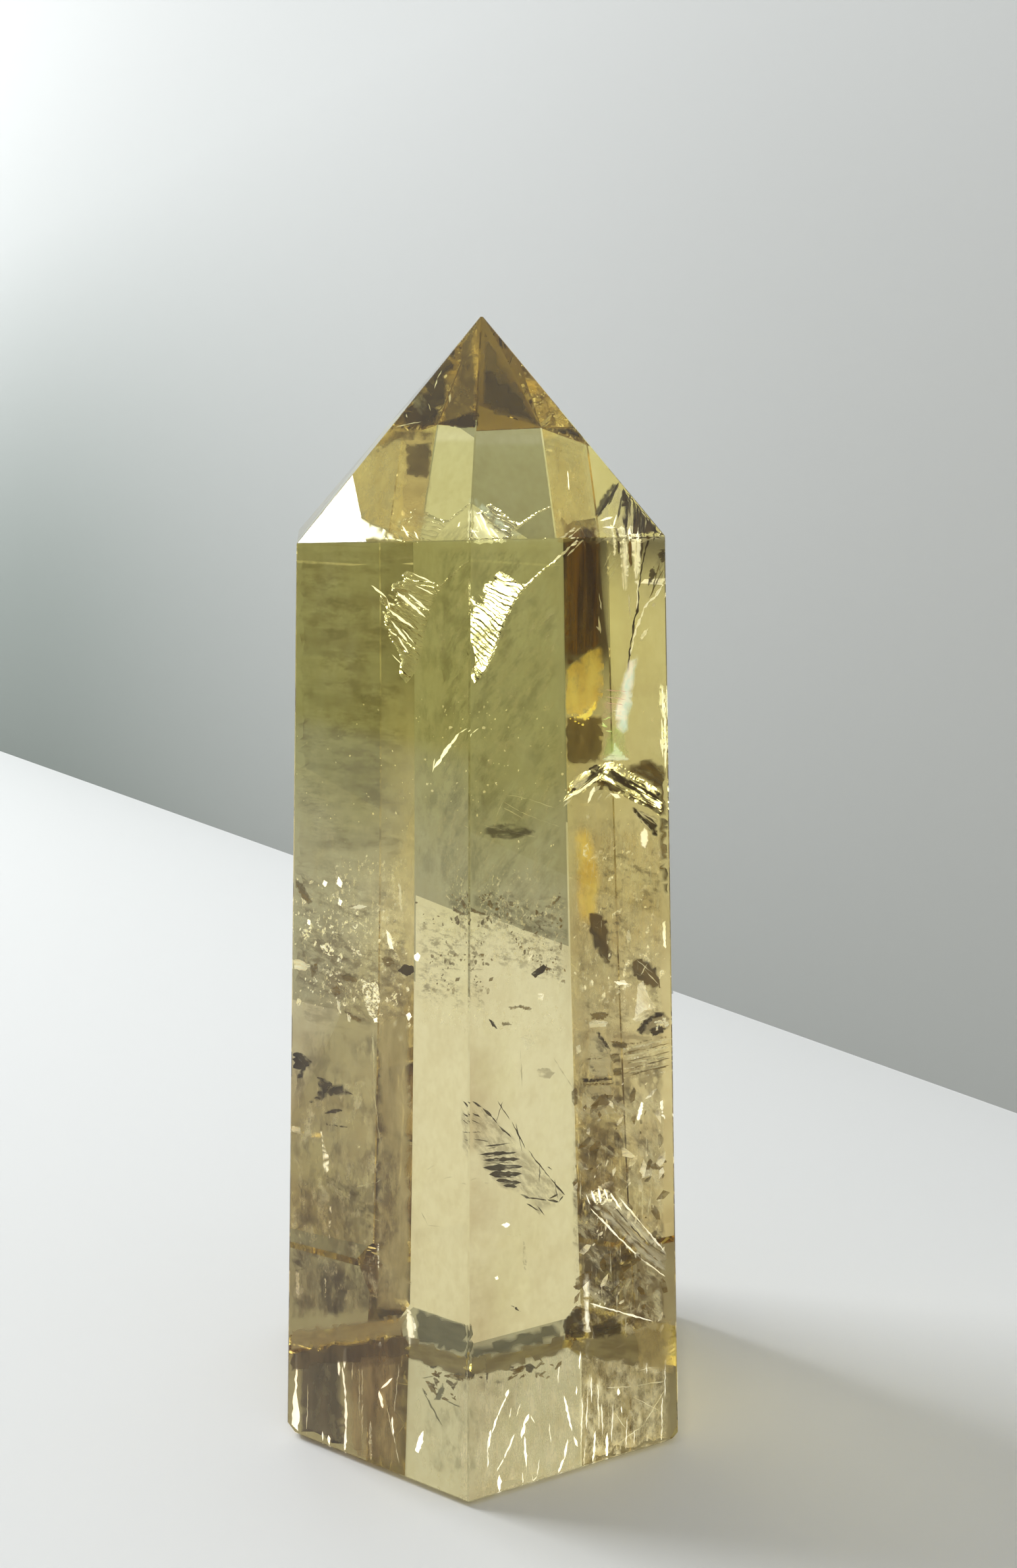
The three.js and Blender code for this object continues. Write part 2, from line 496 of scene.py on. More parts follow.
def fractureMesh(name, look):
    dice = random.Random(look["seed"])
    middle = behind(*look["middle"])
    normal = Vector(look["facing"]).normalized()
    corners = [onSheet(*corner, middle, normal) for corner in look["outline"]]
    middle = sum(corners, Vector()) / len(corners)
    across = (corners[0] - middle).normalized()
    along = normal.cross(across)

    def flatSpot(spot):
        return Vector(((spot - middle).dot(across), (spot - middle).dot(along)))

    pole = flatSpot(Vector(look["pole"]))
    reach = pole.length
    grain, spacing, notch, seed = look["grain"], look["spacing"], look["notch"], look["seed"]
    shift = Vector((seed * ripples["apart"], 0, 0))

    def flatNoise(spot, perMm, plane):
        return noise.noise(Vector((spot.x * perMm, spot.y * perMm, plane)) + shift)

    def fanLine(spot):
        # the arm from the pole to a spot, which fan line it lies on, and how far across it
        arm = spot - pole
        wobble = 0
        for *form, part in (ripples["bend"], ripples["waver"]):
            wobble += flatNoise(spot, *form) * look["wander"] * part
        phase = (math.atan2(arm.y, arm.x) * reach + wobble) / spacing
        return arm, math.floor(phase), phase - math.floor(phase)

    def fanSpot(angle, away):
        return pole + Vector((math.cos(angle), math.sin(angle))) * away

    def fanSpots(rim):
        # spots that follow the fan lines, so that each ridge stays crisp
        angles = [math.atan2((spot - pole).y, (spot - pole).x) for spot in rim]
        reaches = [(spot - pole).length for spot in rim]
        first = math.floor(min(angles) * reach / spacing) - ripples["marginLines"]
        last = math.ceil(max(angles) * reach / spacing) + ripples["marginLines"]
        spots = []
        for line in range(first, last):
            for share in (0, 0.5 - notch / 2, 0.5, 0.5 + notch / 2):    # the valley, foot, crest, foot
                away = min(reaches) - ripples["margin"] + dice.uniform(0, grain)
                while away < max(reaches) + ripples["margin"]:
                    angle = (line + share) * spacing / reach
                    for settle in range(ripples["settling"]):
                        nearLine, nearShare = fanLine(fanSpot(angle, away))[1:]
                        angle -= (nearLine + nearShare - line - share) * spacing / reach
                    spots.append(fanSpot(angle, away))
                    away += grain
        return spots

    rim = raggedRim(dice, [flatSpot(corner) for corner in corners], grain, look["ragged"])
    perLine, plane = ripples["toothNoise"]
    for spot in rim:
        arm, line = fanLine(spot)[:2]
        if arm.length < reach:
            spot += arm.normalized() * look["teeth"] * noise.noise(Vector((line * perLine, plane, seed)))
    net, cells, onRim = rimNet(rim, fanSpots(rim))
    inward = rimGauge(rim)

    def place(spot, atRim):
        arm, line, step = fanLine(spot)
        ramp = max(0, 1 - abs(step - 0.5) / (notch / 2))
        least, spread = ripples["ridge"]
        perLine, perMm = ripples["ridgeNoise"]
        size = max(0, least + spread * noise.noise(Vector((line * perLine, arm.length * perMm, seed))))
        lift = look["ridge"] * ramp * size + flatNoise(spot, *ripples["swellNoise"]) * look["swell"]
        gap = 0 if atRim else look["gape"] * min(1, inward(spot) / ripples["closing"]) / 2
        base = middle + across * spot.x + along * spot.y
        return base + normal * (lift + gap), base + normal * (lift - gap)

    return skinMesh(name, net, cells, onRim, place)

crack = {
    "color": (1, 1, 1),
    "roughness": 0.12,
    "tooth": {"scale": 900, "detail": 3, "strength": 0.15, "distance": 0.0002},
}

def crackFinish(look):
    material, tree = freshMaterial("crack_faces")
    shader = addNode(tree, "ShaderNodeBsdfPrincipled", {
        "Base Color": look["color"],
        "Normal": toothNormal(tree, objectPlace(tree), look["tooth"]),
        "Roughness": look["roughness"],
        "Transmission Weight": 1.0,
        "IOR": crystal["ior"],
    })
    addNode(tree, "ShaderNodeOutputMaterial", {"Surface": shader.outputs[0]})
    return material

# for each crack: the spot and depth of its middle, the way it faces, its outline as it shows from the front,
# the pole of its lines and the sizes of its ripples
fractures = {
    "comb_fracture": {
        "middle": (1.53, 87.42, 22.5), "facing": (-0.43, -0.724, 0.54),
        "outline": [
            (-1.07, 80.96), (0.3, 82.62), (1.02, 84.27), (1.53, 85.64), (2.31, 87.71), (3.03, 89.35),
            (3.81, 90.63), (4.52, 91.48), (5.59, 92.54), (6.79, 93.74), (8.07, 94.66), (7.86, 94.73),
            (6.65, 93.85), (5.45, 92.75), (4.52, 91.9), (3.74, 92.04), (3.17, 92.4), (2.6, 92.82),
            (1.53, 93.38), (0.6, 92.39), (0.17, 91.47), (-0.33, 90.55), (-0.19, 89.84), (-0.62, 89.84),
            (-1.19, 90.62), (-1.47, 90.76), (-1.49, 85.99), (-1.2, 84.99), (-0.99, 83.55), (-1.35, 82.76),
            (-1.5, 81.97)
        ],
        "pole": (-23.6, 22, 99.2), "spacing": 0.5, "ridge": 0.06, "gape": 0.1, "grain": 0.2, "ragged": 0.04,
        "swell": 0.12, "notch": 0.38, "teeth": 1.6, "wander": 0.5, "seed": 4,
    },
    "ridge_right": {
        "middle": (16.66, 68.97, 12), "facing": (-0.41, -0.65, 0.64),
        "outline": [
            (13.5, 72.56), (15.17, 72.27), (16.12, 71.39), (18.9, 69.64), (19.57, 68.9), (19.82, 66.99),
            (19.47, 66.39), (18.14, 67.42), (16.31, 68.08), (13.75, 69.62), (12.29, 70.35), (12.78, 71.68)
        ],
        "pole": (-8.9, 20.2, 78.9), "spacing": 0.9, "ridge": 0.14, "gape": 0.1, "grain": 0.4,
        "ragged": 0.05, "swell": 0.1, "notch": 0.6, "teeth": 0.4, "wander": 0.3, "seed": 7,
    },
    "ridge_left": {
        "middle": (10.84, 70.05, 12), "facing": (-0.43, -0.62, 0.66),
        "outline": [
            (8.67, 67.98), (9.31, 70.05), (10.61, 71.23), (11.62, 71.67), (12.77, 72.26), (14.08, 72.56),
            (14.81, 72.12), (13, 71.38), (12.36, 70.65), (11.06, 69.17), (9.76, 68.72)
        ],
        "pole": (-5.4, -6.3, 62.1), "spacing": 0.9, "ridge": 0.12, "gape": 0.1, "grain": 0.4,
        "ragged": 0.05, "swell": 0.1, "notch": 0.6, "teeth": 0.3, "wander": 0.3, "seed": 9,
    },
}

crackFaces = crackFinish(crack)
for name, look in fractures.items():
    inner(name, fractureMesh(name, look), crackFaces)
print("fractures made")

# finishes of the flakes, strokes and specks

maskForm = {
    "streaks": {"scale": 1, "detail": 7, "roughness": 0.68},
    "patches": {"scale": 0.22, "detail": 4},    # wide patches, in which the streaks gather
    "patchSpan": (0.56, 0.40),
    "tone": {"scale": 0.7, "detail": 3},
    "toneSpan": (0.35, 0.65),
}

def maskGroup(look):
    # where a flake shows: soft at its rim and broken up by streaks that run along it
    sockets = ("Along", "Across", "Low", "High", "Patches", "Opacity")
    outputs = {"Mask": "Float", "Tone": "Float"}
    group, given = nodeGroup("flakeMask", dict.fromkeys(sockets, "Float"), outputs)
    place = addNode(group, "ShaderNodeUVMap", uv_map="sheet").outputs[0]
    parts = axes(group, place)
    stretched = addNode(group, "ShaderNodeCombineXYZ", {
        "X": times(group, parts["X"], given["Along"]),
        "Y": times(group, parts["Y"], given["Across"]),
    }).outputs[0]
    streaks = mapRange(group, noiseValue(group, stretched, **look["streaks"]), given["Low"], given["High"])
    soft = addNode(group, "ShaderNodeAttribute", attribute_name="soft").outputs["Fac"]
    between = mapRange(group, noiseValue(group, place, **look["patches"]), *look["patchSpan"])
    covered = mathNode(group, "SUBTRACT", 1.0, times(group, between, given["Patches"]))
    tone = mapRange(group, noiseValue(group, stretched, **look["tone"]), *look["toneSpan"])
    addNode(group, "NodeGroupOutput", {
        "Mask": times(group, streaks, mapRange(group, soft, 0.0, 1.0), given["Opacity"], covered),
        "Tone": tone,
    })
    return group

flakeMask = maskGroup(maskForm)

def paint(first, second, paintedGlow, opacity, streaks, cut, patches=0):
    # two colours, how strongly they glow with painted light, how much the flake covers, its streaks per mm
    # along and across, where the streaks set in and are full, and how bare it is between its patches
    return {"colors": (first, second), "paintedGlow": paintedGlow, "opacity": opacity,
            "streaks": streaks, "cut": cut, "patches": patches}

flakeLooks = {
    "milk": paint((0.92, 0.9, 0.76), (0.78, 0.72, 0.48), 0.55, 0.85, (0.5, 2.2), (0.3, 0.5)),
    "white": paint((1, 1, 0.96), (1, 0.98, 0.86), 1.3, 1, (0.4, 2), (0.2, 0.36)),
    "edgewhite": paint((1, 1, 0.9), (0.9, 0.92, 0.62), 1.2, 1, (0.35, 1.1), (0.3, 0.46)),
    "veil": paint((0.8, 0.78, 0.6), (0.66, 0.62, 0.4), 0.3, 0.42, (0.35, 0.7), (0.36, 0.66)),
    "veilbright": paint((0.9, 0.88, 0.66), (0.8, 0.76, 0.52), 0.45, 0.6, (0.35, 0.9), (0.3, 0.6)),
    "milkveil": paint((0.92, 0.9, 0.74), (0.62, 0.58, 0.36), 0.4, 0.6, (0.15, 1.4), (0.42, 0.6)),
    "smoke": paint((0.1, 0.06, 0.012), (0.05, 0.028, 0.006), 0.12, 0.95, (0.4, 1.8), (0.25, 0.45)),
    "umber": paint((0.24, 0.15, 0.02), (0.12, 0.075, 0.01), 0.25, 0.8, (0.4, 1.2), (0.24, 0.52)),
    "bark": paint((0.23, 0.115, 0), (0.055, 0.026, 0), 0.45, 0.92, (0.08, 1.6), (0.2, 0.62)),
    "barkwedge": paint((0.11, 0.065, 0.012), (0.05, 0.03, 0.006), 0.15, 0.95, (0.12, 1.6), (0.4, 0.5)),
    "haze": paint((0.2, 0.16, 0.1), (0.13, 0.1, 0.06), 0, 0.42, (0.25, 0.5), (0.38, 0.66)),
    "gold": paint((1, 0.88, 0.25), (0.98, 0.76, 0.12), 1, 0.95, (0.4, 1.8), (0.2, 0.4)),
    "goldveil": paint((0.95, 0.74, 0.15), (0.8, 0.55, 0.08), 0.7, 0.64, (0.4, 0.7), (0.06, 0.56)),
    # painted sheen: the next six finishes are the rainbow colours that light raises on a crack
    "rainbow": paint((0.66, 0.86, 1), (0.96, 0.92, 0.98), 1.1, 0.92, (0.8, 1.2), (0.16, 0.46)),
    "rainbowpale": paint((0.62, 0.82, 0.42), (0.95, 0.62, 0.66), 0.45, 0.5, (0.9, 0.4), (0.3, 0.58)),
    "rose": paint((1, 0.62, 0.66), (0.95, 0.74, 0.72), 0.6, 0.6, (0.5, 0.5), (0.25, 0.5)),
    "lime": paint((0.7, 1, 0.4), (0.86, 1, 0.6), 0.9, 0.85, (0.6, 0.6), (0.25, 0.45)),
    "limeveil": paint((0.55, 0.78, 0.28), (0.72, 0.88, 0.5), 0.45, 0.55, (0.3, 0.8), (0.3, 0.58)),
    "mint": paint((0.8, 1, 0.8), (0.9, 1, 0.98), 0.9, 0.9, (0.5, 1.8), (0.28, 0.48)),
    "stripes": paint((0.15, 0.09, 0.02), (0.06, 0.035, 0.008), 0.15, 0.97, (0.1, 1.25), (0.475, 0.53)),
    "blade": paint((1, 1, 0.94), (0.96, 0.93, 0.76), 1, 0.96, (0.12, 2), (0.32, 0.5)),
    "speckcream": paint((0.98, 0.94, 0.74), (0.9, 0.84, 0.58), 0.6, 0.85, (1, 1), (0.2, 0.4)),
    "crumb": paint((1, 0.98, 0.82), (0.9, 0.84, 0.58), 0.8, 0.9, (2.6, 2.6), (0.44, 0.58)),
    "shard": paint((1, 0.97, 0.84), (0.88, 0.8, 0.56), 0.65, 0.8, (0.3, 0.9), (0.3, 0.62)),
    "darkglass": paint((0.2, 0.12, 0.02), (0.08, 0.045, 0.008), 0.2, 0.9, (0.3, 1), (0.18, 0.44)),
    "hazewarm": paint((0.38, 0.27, 0.13), (0.26, 0.17, 0.07), 0.1, 0.45, (0.4, 0.9), (0.38, 0.6)),
    "hazegreen": paint((0.26, 0.26, 0.13), (0.17, 0.16, 0.07), 0.08, 0.5, (0.4, 1), (0.36, 0.6)),
    "hazedark": paint((0.16, 0.105, 0.05), (0.1, 0.06, 0.03), 0.05, 0.75, (0.35, 0.9), (0.3, 0.56)),
    "hazebrown": paint((0.26, 0.17, 0.07), (0.16, 0.1, 0.04), 0.08, 0.62, (0.3, 0.7), (0.34, 0.58)),
    "paleblock": paint((0.72, 0.66, 0.44), (0.58, 0.5, 0.3), 0.35, 0.75, (0.3, 0.9), (0.24, 0.48)),
    "ink": paint((0.11, 0.075, 0.03), (0.06, 0.04, 0.015), 0, 0.92, (0.5, 2.2), (0.28, 0.46)),
    "shardsmoke": paint((0.13, 0.09, 0.05), (0.07, 0.045, 0.025), 0.05, 0.92, (0.4, 1.6), (0.26, 0.46)),
    "greyblade": paint((0.78, 0.76, 0.66), (0.42, 0.36, 0.24), 0.3, 0.85, (0.1, 1.3), (0.3, 0.5)),
    "dustlight": paint((0.96, 0.92, 0.7), (0.84, 0.78, 0.5), 0.45, 0.8, (1.3, 1.9), (0.53, 0.62), 0.9),
    "dustdark": paint((0.27, 0.2, 0.08), (0.17, 0.115, 0.04), 0.15, 0.6, (1, 1.5), (0.46, 0.62), 0.8),
    "mottle": paint((0.34, 0.27, 0.13), (0.24, 0.18, 0.08), 0.1, 0.4, (0.35, 0.8), (0.4, 0.62), 0.8),
    "mottlegreen": paint((0.3, 0.29, 0.14), (0.22, 0.21, 0.09), 0.1, 0.34, (0.3, 0.7), (0.42, 0.62), 0.7),
    "mottlegrey": paint((0.32, 0.25, 0.17), (0.2, 0.15, 0.1), 0.05, 0.52, (0.3, 0.75), (0.4, 0.6), 0.8),
    "mottlebrown": paint((0.3, 0.2, 0.09), (0.19, 0.125, 0.05), 0.08, 0.55, (0.4, 1.1), (0.4, 0.58), 0.7),
    "mottlecream": paint((0.88, 0.84, 0.62), (0.74, 0.68, 0.44), 0.3, 0.38, (0.45, 1), (0.48, 0.66), 0.8),
    "growth": paint((0.24, 0.19, 0.09), (0.18, 0.14, 0.06), 0.08, 0.22, (0.06, 0.3), (0.42, 0.64)),
    "rainfine": paint((0.98, 0.95, 0.78), (0.86, 0.8, 0.54), 0.45, 0.7, (0.25, 3.2), (0.57, 0.66), 0.7),
    "capsmoke": paint((0.115, 0.075, 0.022), (0.075, 0.048, 0.014), 0.1, 0.9, (0.4, 0.6), (0.06, 0.46)),
    "captan": paint((0.29, 0.21, 0.075), (0.22, 0.155, 0.05), 0.15, 0.8, (0.4, 0.6), (0.1, 0.5)),
    "bandgreen": paint((0.235, 0.225, 0.13), (0.17, 0.16, 0.09), 0.05, 0.8, (0.5, 0.9), (0.05, 0.42)),
    "bandtan": paint((0.58, 0.48, 0.24), (0.46, 0.37, 0.18), 0.22, 0.9, (0.3, 0.9), (0, 0.3)),
    "wedge": paint((0.15, 0.1, 0.035), (0.09, 0.06, 0.02), 0.05, 0.85, (0.4, 1.2), (0.12, 0.46)),
    "footbrown": paint((0.21, 0.155, 0.115), (0.12, 0.085, 0.062), 0.05, 0.8, (0.25, 0.9), (0.16, 0.5)),
    "footrust": paint((0.4, 0.25, 0.09), (0.27, 0.17, 0.06), 0.08, 0.6, (0.3, 1), (0.2, 0.55)),
    "footcream": paint((0.9, 0.85, 0.66), (0.72, 0.66, 0.45), 0.35, 0.6, (0.35, 1.1), (0.34, 0.62)),
    "web": paint((1, 0.97, 0.8), (0.86, 0.8, 0.56), 0.5, 0.6, (0.5, 1.2), (0.5, 0.66), 0.8),
    "webdark": paint((0.24, 0.175, 0.08), (0.16, 0.115, 0.05), 0.05, 0.55, (0.5, 1), (0.48, 0.66), 0.8),
    "arcblue": paint((0.8, 0.92, 0.88), (0.72, 0.82, 0.66), 0.55, 0.75, (0.1, 0.6), (0.2, 0.6)),
    "arcpale": paint((0.98, 0.97, 0.72), (0.88, 0.88, 0.58), 0.55, 0.8, (0.3, 0.5), (0.1, 0.5)),
    "veins": paint((0.94, 0.9, 0.68), (0.8, 0.74, 0.5), 0.38, 0.5, (0.3, 0.7), (0.5, 0.64), 0.7),
    "veinsdark": paint((0.24, 0.165, 0.08), (0.15, 0.1, 0.045), 0.05, 0.6, (0.3, 0.6), (0.5, 0.64), 0.7),
    "tipgold": paint((0.74, 0.6, 0.22), (0.58, 0.44, 0.13), 0.4, 0.5, (0.35, 0.6), (0.1, 0.6)),
    "tiptan": paint((0.62, 0.5, 0.23), (0.5, 0.39, 0.16), 0.3, 0.6, (0.3, 0.6), (0.1, 0.6)),
    "tipbrown": paint((0.2, 0.135, 0.04), (0.14, 0.09, 0.025), 0.1, 0.8, (0.3, 0.6), (0.05, 0.4)),
    "columnhaze": paint((0.62, 0.535, 0.29), (0.48, 0.4, 0.2), 0.35, 0.85, (0.2, 0.8), (0.05, 0.5)),
    # the next finish is painted shade, laid over glints and reflections
    "cover": paint((0.32, 0.25, 0.135), (0.19, 0.145, 0.075), 0.1, 0.95, (0.3, 1.2), (0, 0.15)),
    "olive": paint((0.42, 0.35, 0.17), (0.3, 0.235, 0.105), 0.15, 0.94, (0.5, 1.2), (0, 0.2)),
    "panelbrown": paint((0.26, 0.185, 0.055), (0.17, 0.115, 0.03), 0.2, 0.9, (0.2, 0.9), (0, 0.45)),
    "footwarm": paint((0.92, 0.86, 0.62), (0.58, 0.5, 0.28), 0.4, 0.75, (0.5, 1), (0.32, 0.62)),
    "foottan": paint((0.56, 0.44, 0.22), (0.34, 0.255, 0.12), 0.3, 0.85, (0.2, 1), (0.2, 0.6)),
    "striptan": paint((0.92, 0.8, 0.48), (0.8, 0.65, 0.34), 0.45, 0.5, (0.25, 0.9), (0.34, 0.62)),
}

flakeSurface = {"roughness": 0.5, "shine": 0.0}

def flakeFinish(name, look):
    material, tree = freshMaterial(name)
    along, across = look["streaks"]
    low, high = look["cut"]
    mask = addNode(tree, "ShaderNodeGroup", {
        "Along": along,
        "Across": across,
        "Low": low,
        "High": high,
        "Patches": look["patches"],
        "Opacity": look["opacity"],
    }, node_tree=flakeMask).outputs
    color = mixColor(tree, mask["Tone"], *look["colors"])
    inputs = {
        "Base Color": color,
        "Alpha": mask["Mask"],
        "Roughness": flakeSurface["roughness"],
        "Specular IOR Level": flakeSurface["shine"],
    }
    # painted light: the flake glows in its own colour, in place of light the stone keeps from it
    if look["paintedGlow"]:
        inputs.update({"Emission Color": color, "Emission Strength": look["paintedGlow"]})
    shader = addNode(tree, "ShaderNodeBsdfPrincipled", inputs)
    addNode(tree, "ShaderNodeOutputMaterial", {"Surface": shader.outputs[0]})
    material.cycles.emission_sampling = "NONE"      # too faint to aim rays of light at
    return material

flakeFinishes = {name: flakeFinish(name, look) for name, look in flakeLooks.items()}

def sheetMesh(name, verts, faces, softness, places):
    # a mesh with what the mask reads: how far in from the rim a spot is, and its place along the streaks
    mesh = bpy.data.meshes.new(name)
    mesh.from_pydata([vert * mm for vert in verts], [], faces)
    soft = mesh.attributes.new("soft", "FLOAT", "POINT")
    soft.data.foreach_set("value", softness)
    sheetMap = mesh.uv_layers.new(name="sheet")
    for loop in mesh.loops:
        sheetMap.data[loop.index].uv = places[loop.vertex_index]
    return mesh

flakeForm = {
    "grain": (0.14, 1.0),               # the finest and the coarsest step of a flake's net ...
    "steps": 16,                        # ... which has this many steps along its width and height together
    "ragged": (0.04, 0.1),              # the rim wanders this far, and by this share of a step
    "cell": (0.2, 0.8),                 # where in its cell a spot of the net lies
    "shift": 50,                        # each flake reads its streaks from up to this far away
}

def flakeNet(dice, outline):
    # the net of one flake, and how far in from the rim each of its spots lies
    corners = [Vector(corner) for corner in outline]
    left, right = min(spot.x for spot in corners), max(spot.x for spot in corners)
    low, high = min(spot.y for spot in corners), max(spot.y for spot in corners)
    finest, coarsest = flakeForm["grain"]
    grain = min(coarsest, max(finest, (right - left + high - low) / flakeForm["steps"]))
    ragged, share = flakeForm["ragged"]
    rim = raggedRim(dice, corners, grain, ragged + grain * share)
    spots = []
    for i in range(int((right - left) / grain) + 1):
        for j in range(int((high - low) / grain) + 1):
            across = left + (i + dice.uniform(*flakeForm["cell"])) * grain
            height = low + (j + dice.uniform(*flakeForm["cell"])) * grain
            spots.append(Vector((across, height)))
    net, cells, onRim = rimNet(rim, spots)
    inward = rimGauge(rim)
    return net, cells, [0 if atRim else inward(spot) for spot, atRim in zip(net, onRim)]

def flakeMesh(name, sheets):
    # thin flakes behind a face, each drawn as it shows from the front
    dice = random.Random(name)
    verts, faces, softness, places = [], [], [], []
    for depth, softRim, streak, *outline in sheets:
        net, cells, margins = flakeNet(dice, outline)
        turn = Matrix.Rotation(-math.radians(streak), 2)
        shift = Vector((dice.uniform(0, flakeForm["shift"]), dice.uniform(0, flakeForm["shift"])))
        first = len(verts)
        for spot, margin in zip(net, margins):
            verts.append(behind(*spot, depth))
            softness.append(min(1, margin / softRim) if softRim else 1)
            places.append(turn @ spot + shift)
        faces += [[first + index for index in cell] for cell in cells]
    return sheetMesh(name, verts, faces, softness, places)

strokeForm = {
    "step": 0.4,                        # a stroke is bent every so far along ...
    "leastSteps": 3,
    "wander": 0.05,                     # ... by up to this much
    "swell": (0.5, 1.2),                # its width varies by these shares
    "taper": 4,                         # the higher, the longer it keeps its width toward its ends
    "shift": 50,                        # each stroke reads its streaks from up to this far away
}

def strokeMesh(name, bundles):
    # tapered hairlines behind a face, drawn as they show from the front
    dice = random.Random(name)
    verts, faces, places = [], [], []
    for depth, *lines in bundles:
        for startX, startZ, endX, endZ, width in lines:
            start, end = Vector((startX, startZ)), Vector((endX, endZ))
            along = end - start
            side = Vector((-along.y, along.x)).normalized()
            count = max(strokeForm["leastSteps"], round(along.length / strokeForm["step"]))
            shift = dice.uniform(0, strokeForm["shift"])
            for k in range(count + 1):
                share = k / count
                wander = strokeForm["wander"] if 0 < k < count else 0
                spot = start + along * share + side * (dice.uniform(-wander, wander) if wander else 0)
                taper = 1 - abs(2 * share - 1) ** strokeForm["taper"]
                half = width / 2 * taper * dice.uniform(*strokeForm["swell"])
                for edge in (half, -half):
                    verts.append(behind(*(spot + side * edge), depth))
                    places.append((along.length * share + shift, edge + shift))
                if k:
                    here = len(verts)
                    faces.append([here - 4, here - 3, here - 1, here - 2])
    return sheetMesh(name, verts, faces, [1] * len(verts), places)

speckForm = {
    "tries": 40,                        # places tried for each speck before giving up
    "clumpEdge": 0.35,                  # the smaller, the sharper the clumps
    "smaller": 2,                       # the higher, the more of the specks are small
    "tilt": 0.25,                       # how far their broad sides turn away from the front
    "sides": (4, 5, 6),
    "cornerTurn": 0.3,                  # how unevenly their corners are spaced
    "cornerReach": (0.6, 1),
    "streakScale": 0.7,
}

def anyWay(dice):
    return Vector((dice.gauss(0, 1), dice.gauss(0, 1), dice.gauss(0, 1)))

def speckOutline(dice, look, spot):
    # the corners of one speck, longer the way it leans
    small, large = look["size"]
    size = small * (large / small) ** (dice.random() ** speckForm["smaller"])
    long = (Vector(look["lean"]).normalized() + anyWay(dice) * look["scatter"]).normalized()
    facing = Vector((0, 1, 0)) + anyWay(dice) * speckForm["tilt"]
    wide = long.cross(facing).normalized()
    sides = dice.choice(speckForm["sides"])
    outline = []
    for k in range(sides):
        angle = 2 * math.pi * (k + dice.uniform(-speckForm["cornerTurn"], speckForm["cornerTurn"])) / sides
        longReach = dice.uniform(*speckForm["cornerReach"])
        wideReach = dice.uniform(*speckForm["cornerReach"])
        outline.append(spot + long * math.cos(angle) * size * look["stretch"] * longReach
                       + wide * math.sin(angle) * size * wideReach)
    return outline

def speckMesh(name, look):
    # a cloud of tiny flakes behind a four-cornered part of the face, between two depths
    dice = random.Random(look["seed"])
    corners = [Vector(corner) for corner in look["corners"]]
    away = Vector((look["seed"], 0, 0))
    edge = speckForm["clumpEdge"]
    verts, faces = [], []
    for attempt in range(look["count"] * speckForm["tries"]):
        if len(faces) == look["count"]:
            break
        u, v = dice.random(), dice.random()
        shown = corners[0].lerp(corners[1], u).lerp(corners[3].lerp(corners[2], u), v)
        spot = behind(*shown, dice.uniform(*look["depths"]))
        if noise.noise(spot * look["clump"] + away) < dice.uniform(-edge, edge):
            continue
        outline = speckOutline(dice, look, spot)
        faces.append([len(verts) + index for index in range(len(outline))])
        verts += outline
    scale = speckForm["streakScale"]
    places = [(vert.x * scale, vert.z * scale) for vert in verts]
    return sheetMesh(name, verts, faces, [1] * len(verts), places)

